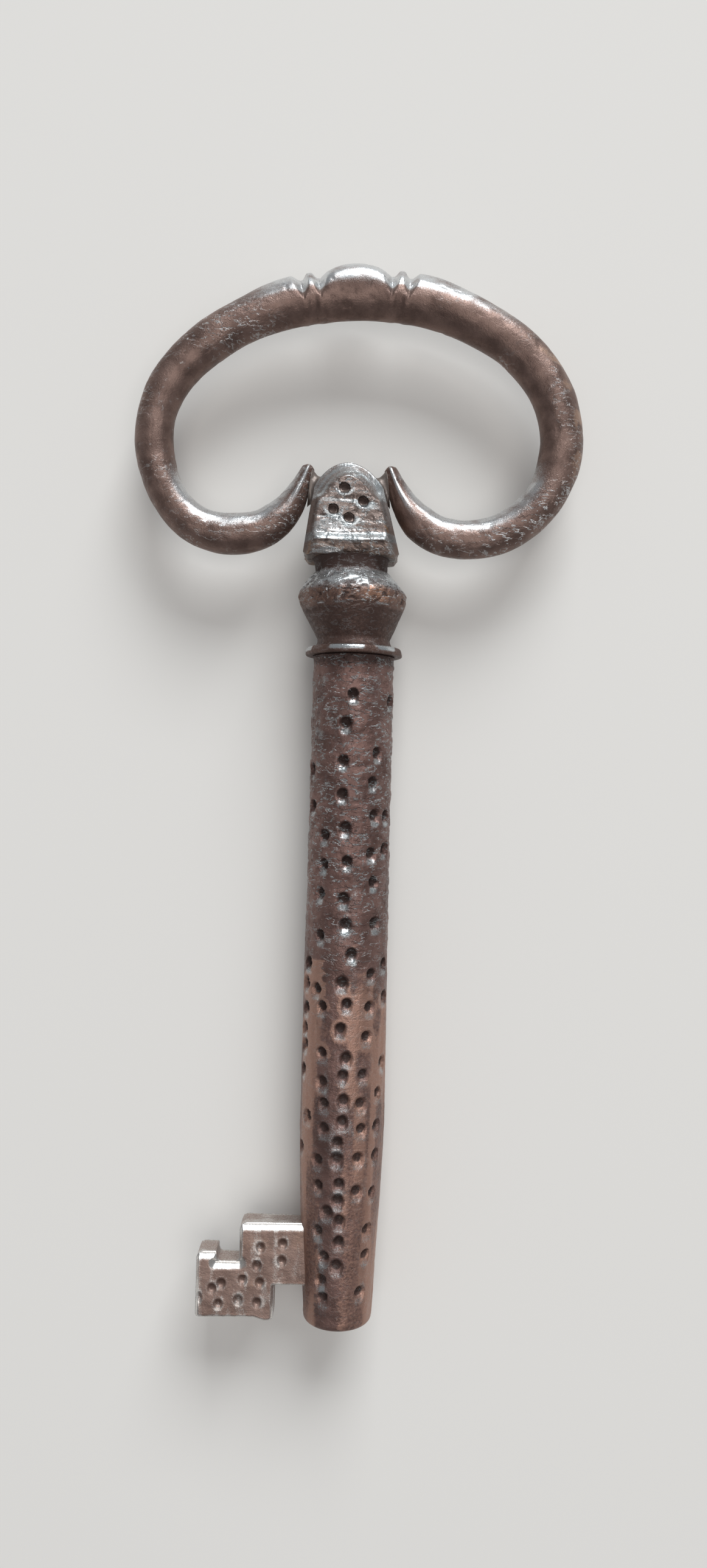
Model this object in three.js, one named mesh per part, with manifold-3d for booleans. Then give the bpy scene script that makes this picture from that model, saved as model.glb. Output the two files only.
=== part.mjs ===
// A wrought iron pipe key, lying flat, in millimetres, +Z up.
// X runs across the key, Y from the mouth of the pipe to the top of the bow.
// The origin is on the surface that the key lies on, under the middle of its outline.
//
// Sizes along the key are measured from the mouth of the pipe, and heights from the pipe's axis.
// The key is brazed together: the pipe is drilled, the bit is let into a slot in its wall, the turned
// neck has a spigot in the top of the pipe, a washer-like collar is trapped between the two, the head
// block is socketed on the neck, and the bow's two arms are tenoned into the sides of the block.

import * as THREE from 'three';
import { mergeVertices } from 'three/addons/utils/BufferGeometryUtils.js';
import Module from 'manifold-3d';

const wasm = await Module();
wasm.setup();

// Clearance and fineness
const BRAZE_GAP = 0.25; // room left for the braze between two joined pieces
const RUN_ON = 1; // how far a cutting shape runs past what it cuts
const FACETS = 32; // sides of each turned piece
const ROUNDING_STEPS = 3;
const CURVE_STEPS = 5;

// Pipe
const PIPE_LENGTH = 81.65;
const PIPE_RADIUS = 5.2;
const PIPE_TOP_RADIUS = 5.05;
const MOUTH_RADIUS = 4.2;
const MOUTH_ROUNDING = 0.7;
const TAPER_LENGTH = 24; // from the mouth to where the pipe has its full radius
const TAPER_BULGE = 0.12; // how far the taper bows outwards
const BORE_RADIUS = 3.0;
const BORE_DEPTH = 55;
const DRILL_POINT = 1.7; // length of the cone that the drill leaves

// Collar
const COLLAR_RADIUS = 6.0;
const COLLAR_THICKNESS = 1.0;
const COLLAR_ROUNDING = 0.3;

// Neck
const NECK_HEIGHT = 10.95;
const NECK_FOOT_RADIUS = 5.1;
const NECK_WAIST_RADIUS = 4.5;
const NECK_WAIST_RISE = 1.1;
const NECK_SCOOP = 0.35; // height of the small hollows at the foot and the top of the neck
const BEAD_RADIUS = 6.75;
const BEAD_RISE = 6.45;
const BEAD_CUP_DROP = 1.6; // from the bead's widest line to the edge where the cup below it starts
const BEAD_CUP_INSET = 0.35; // how far that edge stands in from the widest line
const BEAD_DOME_RISE = 2.9; // from the bead's widest line to the cove over it
const BEAD_DOME_INSET = 0.25;
const COVE_RADIUS = 4.5;
const NECK_TOP_RADIUS = 4.8;
const SPIGOT_RADIUS = 3.0;
const SPIGOT_LENGTH = 8;
const TENON_RADIUS = 2.6;
const TENON_LENGTH = 4.5;

// The smith's lean: the head drifts to the left as it rises
const HEAD_LEAN = 0.0575; // millimetres sideways for each millimetre above the collar

// Head block
const BLOCK_HEIGHT = 11.4;
const BLOCK_BASE_WIDTH = 11.7;
const BLOCK_MID_WIDTH = 9.9;
const BLOCK_SHOULDER_WIDTH = 8.4;
const BLOCK_MID_RISE = 5.1;
const BLOCK_SHOULDER_RISE = 8.4;
const BLOCK_CORNER = 0.45;
const BLOCK_EDGE_DEPTH = 4.6; // thickness at the outline, outside the bevels
const SIDE_BEVEL = 0.8; // width of the bevels down the sides
const ARCH_BEVEL = 1.8; // width of the bevel round the arch
const ARCH_FULLNESS = 0.45;
const ARCH_LEAN_IN = 0.7;
const ARCH_STEPS = 8;
const PANEL_DEPTH = 8.0; // from the front panel to the back panel
const PANEL_TOP_DEPTH = 7.2;
const FOOT_DEPTH = 9.6; // across the ridges at the foot
const FOOT_RIDGE_RISE = 1.6;
const FOOT_FLARE_RISE = 2.9;
const FOOT_LIP_DEPTH = 7.8;
const FOOT_LIP_ROUNDING = 0.2;
const SIDE_FLARE_RATIO = 2.4; // how many times wider the side bevels are at the ridges than at the panel
const ARCH_FLARE_RATIO = 1.4; // the same for the arch's bevel

// Bow: the centre line of the bar, from the base of the block
const BOW_LEFT_REACH = 24.2;
const BOW_RIGHT_REACH = 26.15;
const BOW_WAIST_RISE = 15.2;
const BOW_CROWN_RISE = 32.3;
const LOBE_REACH = 14.45;
const LOBE_RISE = 2.85;
const LEAF_TIP_RISE = 11.5;
const LEAF_TIP_SPREAD = 0.7; // from the side of the block's shoulder to the leaf tip
const LEAF_TIP_ANGLE = 70; // degrees from level
const LEFT_LOBE_FULLNESS = 0.6; // handle of the curve from lobe to side, as a share: 0.55 is an ellipse
const RIGHT_LOBE_FULLNESS = 0.5523;
const LEFT_SIDE_FULLNESS = 0.49; // the same at the sides, towards the crown
const RIGHT_SIDE_FULLNESS = 0.46;
const LEFT_CROWN_FULLNESS = 0.6; // the same at the crown, which is flatter than an ellipse
const RIGHT_CROWN_FULLNESS = 0.7;
const CROWN_TILT = 2.5; // degrees by which the bar still climbs to the right at the crown
const LOBE_HANDLE_LENGTH = 6.0;
const LEAF_HANDLE_LENGTH = 5.0;

// Bow: half thickness of the bar in the plane of the bow
const CROWN_HALF = 2.75;
const LEFT_SHOULDER_HALF = 2.7;
const RIGHT_SHOULDER_HALF = 2.85;
const LEFT_TURN_HALF = 2.35;
const RIGHT_TURN_HALF = 2.57;
const LEFT_SIDE_HALF = 2.47;
const RIGHT_SIDE_HALF = 2.72;
const LEFT_LOBE_HALF = 2.68;
const RIGHT_LOBE_HALF = 2.42;
const ARM_HALF = 2.35;
const LEAF_TIP_HALF = 0.45;
const LEAF_LENGTH = 8; // from a leaf's tip to where the arm has its full width
const LEAF_RIDGE_LENGTH = 11; // from a leaf's tip to where its ridge has faded into the bar
const LEAF_RIDGE_POWER = 1.4; // power of the section at the ridge: 2 is an ellipse, 1 a diamond
const BAR_FLATNESS = 0.95; // depth of the bar over its width
const BAR_SIDES = 16;
const ELLIPSE_POWER = 2;
const BAR_STEP_LENGTH = 2.4;
const LEAF_STEP_LENGTH = 1.2;

// Crest on the crown: a bead between two ribs, with a notch on each side of each rib
const CREST_SHIFT = 0.3; // the crest stands a little to the right of the crown
const CREST_BEAD_HALF = 3.85;
const CREST_BEAD_LIFT = 1.5;
const CREST_BEAD_POWER = 0.85; // 0.5 would make the bead an ellipse, 1 a parabola
const CREST_RIB_AT = 5.35;
const CREST_RIB_LIFT = 1.1;
const CREST_RIB_HALF = 0.85;
const CREST_NOTCH_DEPTH = 0.2; // of each notch at the bar's outer edge
const CREST_CHANNEL_DEPTH = 0.7; // added where the notch runs down the face of the bar
const CREST_NOTCH_HALF = 0.75;
const CREST_INNER_NOTCH_AT = 4.35;
const CREST_OUTER_NOTCH_AT = 6.45;
const CREST_SHOULDER_AT = 7.5;
const CREST_SHOULDER_LIFT = 0.75;
const CREST_SHOULDER_FADE = 10;
const CREST_STEP_LENGTH = 0.36;

// Tenons of the bow's arms
const ARM_TENON_RADIUS = 1.3;
const ARM_TENON_LENGTH = 1.8;
const ARM_TENON_RISE = 4.6;
const ARM_TENON_ROOT = 2.2;

// Webs of braze between the arms and the block
const WEB_DEPTH = 3.6; // at the block
const WEB_THINNING = 0.2; // share of its depth that a web loses for each millimetre away from the block
const WEB_FOOT_RISE = 6.4;
const WEB_TOP_RISE = 10.15;
const WEB_HORN_RISE = 11; // where the web ends on the leaf
const WEB_REACH = 1.6;

// Bit, with distances out from the pipe's axis and up from its mouth
const BIT_REACH = 17.3;
const BIT_TOP = 12.05;
const BIT_STEP_REACH = 12.1;
const BIT_NOTCH_FLOOR = 7.3;
const BIT_PRONG = 14.9;
const BIT_PRONG_TOP = 8.5;
const BIT_BOTTOM = 0.55;
const BIT_HEEL_DROP = 0.4;
const BIT_HEEL_WIDTH = 2.4;
const BIT_CUT_WIDTH = 3.6;
const BIT_CUT_TOP = 4.5;
const BIT_ROOT_THICKNESS = 3.9;
const BIT_THICKENING = 0.07; // thickness gained for each millimetre outwards
const BIT_TOP_BEVEL = 0.9; // height of the bevels along the top edges
const BIT_SIDE_BEVEL = 0.3; // width of the bevels on the other edges
const BIT_BEVEL_DEPTH = 0.55;
const BIT_CORNER = 0.7;
const BIT_END_CORNER = 0.4; // the lower corner of the end
const BIT_SEAT_WALL = 0.55; // wall of the pipe left between the bit and the bore

// The punched dots: cones struck into the iron. Those on the pipe stand in wandering columns, each
// with its turn round the pipe in degrees from the front, and each dot with its distance from the mouth.
const DOT_RADIUS = 0.8;
const DOT_DEPTH = 0.55;
const DOT_SIDES = 6;
const DOT_COLUMNS = [
  { turn: -67, at: [21.5, 25.5, 31, 34, 36, 38.5, 41.5, 44, 63, 67.5] },
  { turn: -32, at: [6, 9, 12, 14.5, 17.5, 20.5, 24.5, 27.5, 30, 33.5, 39, 41.5, 47.5, 52.5, 56, 59.5] },
  { turn: -2, at: [8, 11, 13.5, 16, 18, 20.5, 23, 25.5, 28, 30.5, 33, 36.5, 39.5, 42, 45.5, 49, 52] },
  { turn: -6, at: [56.5, 60.5, 64.5, 68.5, 73, 76.5] },
  { turn: 33, at: [17, 21, 24.5, 27.5, 31, 35.5, 39, 43, 49, 54, 57.5, 62, 66, 69.5] },
  { turn: 59, at: [9, 12, 16.5, 21, 24.5, 28.5, 32, 40, 44, 58, 62, 76] },
];
const DOT_BACK_SLIDE = -1.3; // the same columns go on round the back, a little nearer the mouth
const BLOCK_DOTS = [[-0.5, 8.0], [1.7, 6.4], [-1.9, 5.4], [-0.1, 4.4]]; // across, and above the foot
const BIT_DOTS = [ // across from the axis, and above the mouth
  [-9.5, 9.3], [-6.8, 9.8], [-9.9, 7.1], [-6.9, 7.7], [-14.2, 4.9], [-11.6, 5.4],
  [-9.5, 5.0], [-14.5, 2.4], [-12.1, 2.9], [-9.8, 2.6],
];

// Places along the key that follow from the sizes
const NECK_Y = PIPE_LENGTH + COLLAR_THICKNESS;
const BLOCK_Y = NECK_Y + NECK_HEIGHT;
const BLOCK_TOP_Y = BLOCK_Y + BLOCK_HEIGHT;
const BLOCK_SHOULDER_Y = BLOCK_Y + BLOCK_SHOULDER_RISE;

function leanAt(y) {
  return -HEAD_LEAN * Math.max(0, y - NECK_Y);
}

function vertexMap(geometry, move) {
  const position = geometry.getAttribute('position');
  const point = new THREE.Vector3();
  for (let i = 0; i < position.count; i += 1) {
    point.fromBufferAttribute(position, i);
    move(point);
    position.setXYZ(i, point.x, point.y, point.z);
  }
  return geometry;
}

function leaned(geometry) {
  return vertexMap(geometry, (point) => {
    point.x += leanAt(point.y);
  });
}

// Closed geometry to a solid for cutting and joining
function solid(geometry) {
  const bare = geometry.clone();
  bare.deleteAttribute('normal');
  bare.deleteAttribute('uv');
  const merged = mergeVertices(bare, 1e-4);
  const corners = merged.getIndex().array;
  const kept = [];
  for (let i = 0; i < corners.length; i += 3) {
    const [a, b, c] = [corners[i], corners[i + 1], corners[i + 2]];
    if (a !== b && b !== c && c !== a) kept.push(a, b, c);
  }
  const mesh = new wasm.Mesh({
    numProp: 3,
    vertProperties: Float32Array.from(merged.getAttribute('position').array),
    triVerts: Uint32Array.from(kept),
  });
  return new wasm.Manifold(mesh);
}

function geometryOf(shape) {
  const mesh = shape.getMesh();
  const geometry = new THREE.BufferGeometry();
  geometry.setAttribute('position', new THREE.BufferAttribute(mesh.vertProperties, 3));
  geometry.setIndex(new THREE.BufferAttribute(mesh.triVerts, 1));
  geometry.computeVertexNormals();
  return geometry;
}

// A profile of [radius, y] points turned about the key's axis
function turned(profile) {
  const points = profile.map(([radius, y]) => new THREE.Vector2(radius, y));
  return new THREE.LatheGeometry(points, FACETS);
}

// Points along a quadratic curve, without its first point
function bend(from, control, to, steps) {
  const curve = new THREE.QuadraticBezierCurve(
    new THREE.Vector2(...from),
    new THREE.Vector2(...control),
    new THREE.Vector2(...to),
  );
  return curve.getPoints(steps).slice(1).map((point) => [point.x, point.y]);
}

function pinAlongX(radius, fromX, toX, y) {
  const length = Math.abs(toX - fromX);
  const pin = new THREE.CylinderGeometry(radius, radius, length, FACETS / 2);
  pin.rotateZ(Math.PI / 2);
  pin.translate((fromX + toX) / 2, y, 0);
  return pin;
}

// One cone that points down into a level face: its wide end is as far above the face as its point is below
function dotCone() {
  const cone = new THREE.ConeGeometry(2 * DOT_RADIUS, 2 * DOT_DEPTH, DOT_SIDES);
  cone.rotateX(-Math.PI / 2);
  return cone;
}

function pipeRadiusAt(y) {
  if (y > TAPER_LENGTH) {
    const back = (y - TAPER_LENGTH) / (PIPE_LENGTH - TAPER_LENGTH);
    return PIPE_RADIUS + (PIPE_TOP_RADIUS - PIPE_RADIUS) * back;
  }
  const share = y / TAPER_LENGTH;
  return MOUTH_RADIUS + (PIPE_RADIUS - MOUTH_RADIUS) * share + 2 * TAPER_BULGE * share * (1 - share);
}

// Every dot of the pipe, joined into one cutter: the front columns, then the same round the back
function pipeDots() {
  const dots = [];
  for (const { turn, at } of DOT_COLUMNS) {
    for (const y of at) {
      dots.push([turn, y], [turn + 180, y + DOT_BACK_SLIDE]);
    }
  }
  const cones = dots.map(([turn, y]) => {
    const cone = dotCone();
    cone.translate(0, y, pipeRadiusAt(y));
    cone.rotateY(THREE.MathUtils.degToRad(turn));
    return solid(cone);
  });
  return cones.reduce((all, cone) => all.add(cone));
}

// The dots of a flat piece, on its front and its back. depthAt gives half its thickness at a place.
function faceDots(places, depthAt) {
  const cones = places.flatMap(([x, y]) => {
    const front = dotCone();
    front.translate(x, y, depthAt(x, y));
    const back = dotCone();
    back.rotateY(Math.PI);
    back.translate(x, y, -depthAt(x, y));
    return [solid(leaned(front)), solid(leaned(back))];
  });
  return cones.reduce((all, cone) => all.add(cone));
}

// The pipe: drilled from the mouth, with a shorter hole at the top for the spigot of the neck
function pipeSolid() {
  const spigotFloor = PIPE_LENGTH - SPIGOT_LENGTH - BRAZE_GAP;
  const taperStart = [MOUTH_RADIUS, MOUTH_ROUNDING];
  const taperMiddle = [(MOUTH_RADIUS + PIPE_RADIUS) / 2 + TAPER_BULGE, TAPER_LENGTH / 2];
  const profile = [
    [0, BORE_DEPTH + DRILL_POINT],
    [BORE_RADIUS, BORE_DEPTH],
    [BORE_RADIUS, 0],
    [MOUTH_RADIUS - MOUTH_ROUNDING, 0],
    ...bend([MOUTH_RADIUS - MOUTH_ROUNDING, 0], [MOUTH_RADIUS, 0], taperStart, ROUNDING_STEPS),
    ...bend(taperStart, taperMiddle, [PIPE_RADIUS, TAPER_LENGTH], CURVE_STEPS),
    [PIPE_TOP_RADIUS, PIPE_LENGTH],
    [SPIGOT_RADIUS + BRAZE_GAP, PIPE_LENGTH],
    [SPIGOT_RADIUS + BRAZE_GAP, spigotFloor],
    [0, spigotFloor],
  ];
  return solid(turned(profile)).subtract(solid(bitSlot())).subtract(pipeDots());
}

// The slot in the wall of the pipe that the bit is let into
function bitSlot() {
  const height = BIT_TOP - BIT_CUT_TOP + 2 * BRAZE_GAP;
  const width = BIT_ROOT_THICKNESS + 2 * BRAZE_GAP;
  const floor = bitRootX() + BRAZE_GAP;
  const outside = -PIPE_RADIUS - RUN_ON;
  const slot = new THREE.BoxGeometry(floor - outside, height, width);
  slot.translate((floor + outside) / 2, (BIT_TOP + BIT_CUT_TOP) / 2, 0);
  return slot;
}

function bitRootX() {
  return -(BORE_RADIUS + BIT_SEAT_WALL);
}

function collarSolid() {
  const inner = SPIGOT_RADIUS + BRAZE_GAP;
  const outer = COLLAR_RADIUS;
  const flat = COLLAR_RADIUS - COLLAR_ROUNDING;
  const bottom = PIPE_LENGTH;
  const profile = [
    [inner, bottom],
    [flat, bottom],
    ...bend([flat, bottom], [outer, bottom], [outer, bottom + COLLAR_ROUNDING], ROUNDING_STEPS),
    [outer, NECK_Y - COLLAR_ROUNDING],
    ...bend([outer, NECK_Y - COLLAR_ROUNDING], [outer, NECK_Y], [flat, NECK_Y], ROUNDING_STEPS),
    [inner, NECK_Y],
    [inner, bottom],
  ];
  return solid(turned(profile));
}

// The neck: a cup under a bead under a cove, with a spigot below and a tenon above
function neckSolid() {
  const waist = [NECK_WAIST_RADIUS, NECK_Y + NECK_WAIST_RISE];
  const bead = [BEAD_RADIUS, NECK_Y + BEAD_RISE];
  const cupEdge = [BEAD_RADIUS - BEAD_CUP_INSET, bead[1] - BEAD_CUP_DROP];
  const cupMiddle = [(waist[0] + cupEdge[0]) / 2, (waist[1] + cupEdge[1]) / 2];
  const cove = [COVE_RADIUS, bead[1] + BEAD_DOME_RISE];
  const profile = [
    [0, PIPE_LENGTH - SPIGOT_LENGTH],
    [SPIGOT_RADIUS, PIPE_LENGTH - SPIGOT_LENGTH],
    [SPIGOT_RADIUS, NECK_Y],
    [NECK_FOOT_RADIUS, NECK_Y],
    ...bend([NECK_FOOT_RADIUS, NECK_Y], [NECK_WAIST_RADIUS, NECK_Y + NECK_SCOOP], waist, ROUNDING_STEPS),
    ...bend(waist, cupMiddle, cupEdge, CURVE_STEPS),
    ...bend(cupEdge, [BEAD_RADIUS, (cupEdge[1] + bead[1]) / 2], bead, ROUNDING_STEPS),
    ...bend(bead, [BEAD_RADIUS - BEAD_DOME_INSET, bead[1] + BEAD_DOME_RISE / 3], cove, CURVE_STEPS),
    ...bend(cove, [COVE_RADIUS, BLOCK_Y - NECK_SCOOP], [NECK_TOP_RADIUS, BLOCK_Y], ROUNDING_STEPS),
    [TENON_RADIUS, BLOCK_Y],
    [TENON_RADIUS, BLOCK_Y + TENON_LENGTH],
    [0, BLOCK_Y + TENON_LENGTH],
  ];
  return solid(leaned(turned(profile)));
}

// The outline of the block from the front: flared sides under a round arch.
// Its sides and its arch can be drawn in by the bevels, or the whole of it grown by a clearance.
function blockOutline(sideInset, archInset, grow) {
  const base = BLOCK_BASE_WIDTH / 2 + grow - sideInset;
  const middle = BLOCK_MID_WIDTH / 2 + grow - sideInset;
  const shoulder = BLOCK_SHOULDER_WIDTH / 2 + grow - sideInset;
  const bottom = BLOCK_Y - grow;
  const top = BLOCK_TOP_Y + grow - archInset;
  const spring = BLOCK_SHOULDER_Y - archInset / 2;
  const hip = spring + (top - spring) * ARCH_FULLNESS;
  const outline = new THREE.Shape();
  outline.moveTo(-base + BLOCK_CORNER, bottom);
  outline.lineTo(base - BLOCK_CORNER, bottom);
  outline.lineTo(base, bottom + BLOCK_CORNER);
  outline.lineTo(middle, BLOCK_Y + BLOCK_MID_RISE);
  outline.lineTo(shoulder, spring);
  outline.bezierCurveTo(shoulder - ARCH_LEAN_IN, hip, shoulder * ARCH_FULLNESS, top, 0, top);
  outline.bezierCurveTo(-shoulder * ARCH_FULLNESS, top, ARCH_LEAN_IN - shoulder, hip, -shoulder, spring);
  outline.lineTo(-middle, BLOCK_Y + BLOCK_MID_RISE);
  outline.lineTo(-base, bottom + BLOCK_CORNER);
  return outline.getPoints(ARCH_STEPS);
}

// The block's thickness from the side: a flat panel over a flared foot with a rounded lip
function blockDepthProfile(grow) {
  const bottom = BLOCK_Y - grow;
  const top = BLOCK_TOP_Y + grow + RUN_ON;
  const ridgeY = BLOCK_Y + FOOT_RIDGE_RISE;
  const flareY = BLOCK_Y + FOOT_FLARE_RISE;
  const lip = FOOT_LIP_DEPTH / 2 + grow;
  const ridge = FOOT_DEPTH / 2 + grow;
  const panel = PANEL_DEPTH / 2 + grow;
  const front = [
    [bottom, lip],
    ...bend([bottom, lip], [bottom + FOOT_LIP_ROUNDING, ridge], [ridgeY, ridge], ROUNDING_STEPS),
    ...bend([ridgeY, ridge], [(ridgeY + flareY) / 2, panel], [flareY, panel], ROUNDING_STEPS),
    [top, PANEL_TOP_DEPTH / 2 + grow],
  ];
  const back = front.map(([y, z]) => [y, -z]).reverse();
  return new THREE.Shape([...front, ...back].map(([y, z]) => new THREE.Vector2(y, z)));
}

// The block bevelled along its sides and round its arch, before its front and back are shaped
function blockPlan(grow) {
  const wideSide = SIDE_BEVEL * SIDE_FLARE_RATIO;
  const wideArch = ARCH_BEVEL * ARCH_FLARE_RATIO;
  const levels = [
    { z: BLOCK_EDGE_DEPTH / 2 + grow, side: 0, arch: 0 },
    { z: PANEL_TOP_DEPTH / 2 + grow, side: SIDE_BEVEL, arch: ARCH_BEVEL },
    { z: FOOT_DEPTH / 2 + grow + RUN_ON, side: wideSide, arch: wideArch },
  ];
  const back = levels.map((level) => ({ ...level, z: -level.z })).reverse();
  const rings = [...back, ...levels].map(({ z, side, arch }) => (
    blockOutline(side, arch, grow).map((point) => new THREE.Vector3(point.x, point.y, z))
  ));
  return stack(rings);
}

function blockBlank(grow) {
  const width = BLOCK_BASE_WIDTH + 2 * grow + 2 * RUN_ON;
  const side = new THREE.ExtrudeGeometry(blockDepthProfile(grow), { depth: width, bevelEnabled: false });
  side.translate(0, 0, -width / 2);
  side.applyMatrix4(new THREE.Matrix4().set(0, 0, 1, 0, 1, 0, 0, 0, 0, 1, 0, 0, 0, 0, 0, 1));
  return solid(leaned(blockPlan(grow))).intersect(solid(leaned(side)));
}

function blockSideX(rise) {
  const share = (rise - BLOCK_MID_RISE) / (BLOCK_SHOULDER_RISE - BLOCK_MID_RISE);
  return (BLOCK_MID_WIDTH + share * (BLOCK_SHOULDER_WIDTH - BLOCK_MID_WIDTH)) / 2;
}

// The tenon of one arm, or with a clearance the mortise that takes it
function armTenon(side, grow) {
  const face = blockSideX(ARM_TENON_RISE);
  const inner = side * (face - ARM_TENON_LENGTH - grow);
  const outer = side * (face + ARM_TENON_ROOT);
  return solid(leaned(pinAlongX(ARM_TENON_RADIUS + grow, inner, outer, BLOCK_Y + ARM_TENON_RISE)));
}

// Half thickness of the block's panel at a height above its foot
function panelHalf(rise) {
  const share = (rise - FOOT_FLARE_RISE) / (BLOCK_HEIGHT + RUN_ON - FOOT_FLARE_RISE);
  return (PANEL_DEPTH + share * (PANEL_TOP_DEPTH - PANEL_DEPTH)) / 2;
}

function headBlockSolid() {
  const dots = BLOCK_DOTS.map(([x, rise]) => [x, BLOCK_Y + rise]);
  const socket = [
    [0, BLOCK_Y - RUN_ON],
    [TENON_RADIUS + BRAZE_GAP, BLOCK_Y - RUN_ON],
    [TENON_RADIUS + BRAZE_GAP, BLOCK_Y + TENON_LENGTH + BRAZE_GAP],
    [0, BLOCK_Y + TENON_LENGTH + BRAZE_GAP],
  ];
  return blockBlank(0)
    .subtract(solid(leaned(turned(socket))))
    .subtract(armTenon(-1, BRAZE_GAP))
    .subtract(armTenon(1, BRAZE_GAP))
    .subtract(faceDots(dots, (x, y) => panelHalf(y - BLOCK_Y)));
}

// One cubic stretch between two anchors, each with a heading and a handle length
function stretch(from, to, fromHandle, toHandle) {
  const out = new THREE.Vector2(Math.cos(from.heading), Math.sin(from.heading)).multiplyScalar(fromHandle);
  const back = new THREE.Vector2(Math.cos(to.heading), Math.sin(to.heading)).multiplyScalar(-toHandle);
  return new THREE.CubicBezierCurve3(
    new THREE.Vector3(from.x, from.y, 0),
    new THREE.Vector3(from.x + out.x, from.y + out.y, 0),
    new THREE.Vector3(to.x + back.x, to.y + back.y, 0),
    new THREE.Vector3(to.x, to.y, 0),
  );
}

// The bar's centre line, from the left leaf tip over the crown to the right leaf tip
function bowAnchors() {
  const middle = leanAt(BLOCK_SHOULDER_Y);
  const tipReach = BLOCK_SHOULDER_WIDTH / 2 + LEAF_TIP_SPREAD;
  const tilt = THREE.MathUtils.degToRad(LEAF_TIP_ANGLE);
  return {
    leftTip: { x: middle - tipReach, y: BLOCK_Y + LEAF_TIP_RISE, heading: Math.PI + tilt },
    leftLobe: { x: middle - LOBE_REACH, y: BLOCK_Y + LOBE_RISE, heading: Math.PI },
    leftSide: { x: middle - BOW_LEFT_REACH, y: BLOCK_Y + BOW_WAIST_RISE, heading: Math.PI / 2 },
    crown: { x: middle, y: BLOCK_Y + BOW_CROWN_RISE, heading: THREE.MathUtils.degToRad(CROWN_TILT) },
    rightSide: { x: middle + BOW_RIGHT_REACH, y: BLOCK_Y + BOW_WAIST_RISE, heading: -Math.PI / 2 },
    rightLobe: { x: middle + LOBE_REACH, y: BLOCK_Y + LOBE_RISE, heading: Math.PI },
    rightTip: { x: middle + tipReach, y: BLOCK_Y + LEAF_TIP_RISE, heading: Math.PI - tilt },
  };
}

function bowStretches() {
  const at = bowAnchors();
  const crownDrop = BOW_CROWN_RISE - BOW_WAIST_RISE;
  const lobeDrop = BOW_WAIST_RISE - LOBE_RISE;
  const leftOut = BOW_LEFT_REACH - LOBE_REACH;
  const rightOut = BOW_RIGHT_REACH - LOBE_REACH;
  const leftCrown = LEFT_CROWN_FULLNESS * BOW_LEFT_REACH;
  const rightCrown = RIGHT_CROWN_FULLNESS * BOW_RIGHT_REACH;
  return [
    stretch(at.leftTip, at.leftLobe, LEAF_HANDLE_LENGTH, LOBE_HANDLE_LENGTH),
    stretch(at.leftLobe, at.leftSide, LEFT_LOBE_FULLNESS * leftOut, LEFT_LOBE_FULLNESS * lobeDrop),
    stretch(at.leftSide, at.crown, LEFT_SIDE_FULLNESS * crownDrop, leftCrown),
    stretch(at.crown, at.rightSide, rightCrown, RIGHT_SIDE_FULLNESS * crownDrop),
    stretch(at.rightSide, at.rightLobe, RIGHT_LOBE_FULLNESS * lobeDrop, RIGHT_LOBE_FULLNESS * rightOut),
    stretch(at.rightLobe, at.rightTip, LOBE_HANDLE_LENGTH, LEAF_HANDLE_LENGTH),
  ];
}

// Half thickness of the bar at the ends and middle of each stretch
function bowHalves() {
  return [
    [LEAF_TIP_HALF, ARM_HALF, LEFT_LOBE_HALF],
    [LEFT_LOBE_HALF, LEFT_TURN_HALF, LEFT_SIDE_HALF],
    [LEFT_SIDE_HALF, LEFT_SHOULDER_HALF, CROWN_HALF],
    [CROWN_HALF, RIGHT_SHOULDER_HALF, RIGHT_SIDE_HALF],
    [RIGHT_SIDE_HALF, RIGHT_TURN_HALF, RIGHT_LOBE_HALF],
    [RIGHT_LOBE_HALF, ARM_HALF, LEAF_TIP_HALF],
  ];
}

function smooth(share) {
  return share * share * (3 - 2 * share);
}

function between(three, share) {
  const half = share < 0.5 ? 0 : 1;
  return three[half] + (three[half + 1] - three[half]) * smooth(share * 2 - half);
}

// Half thickness of a leaf, which widens like a horn from its tip to the arm and goes on to the lobe
function leafHalf([tip, arm, lobe], fromTip, length) {
  const horn = Math.min(1, fromTip / LEAF_LENGTH);
  const beyond = smooth(Math.max(0, fromTip - LEAF_LENGTH) / (length - LEAF_LENGTH));
  return tip + (arm + (lobe - arm) * beyond - tip) * horn;
}

// Power of the section's curve, which gives each leaf a ridge that fades into the round bar
function leafPower(fromTip) {
  const ridge = 1 - Math.min(1, fromTip / LEAF_RIDGE_LENGTH);
  return ELLIPSE_POWER + (LEAF_RIDGE_POWER - ELLIPSE_POWER) * smooth(ridge);
}

// How far the crest lifts and cuts the outside of the bar, at a distance along it from the crown
function crest(distance) {
  const along = Math.abs(distance - CREST_SHIFT);
  const bump = (middle, half) => Math.max(0, 1 - Math.abs(along - middle) / half);
  const bead = Math.max(0, 1 - (along / CREST_BEAD_HALF) ** 2) ** CREST_BEAD_POWER;
  const innerNotch = bump(CREST_INNER_NOTCH_AT, CREST_NOTCH_HALF);
  const outerNotch = bump(CREST_OUTER_NOTCH_AT, CREST_NOTCH_HALF);
  const fade = Math.max(0, 1 - (along - CREST_SHOULDER_AT) / CREST_SHOULDER_FADE);
  const shoulder = along < CREST_SHOULDER_AT ? 0 : smooth(fade);
  const swell = CREST_BEAD_LIFT * bead
    + CREST_RIB_LIFT * bump(CREST_RIB_AT, CREST_RIB_HALF)
    + CREST_SHOULDER_LIFT * shoulder;
  return { swell, cut: innerNotch + outerNotch };
}

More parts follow.
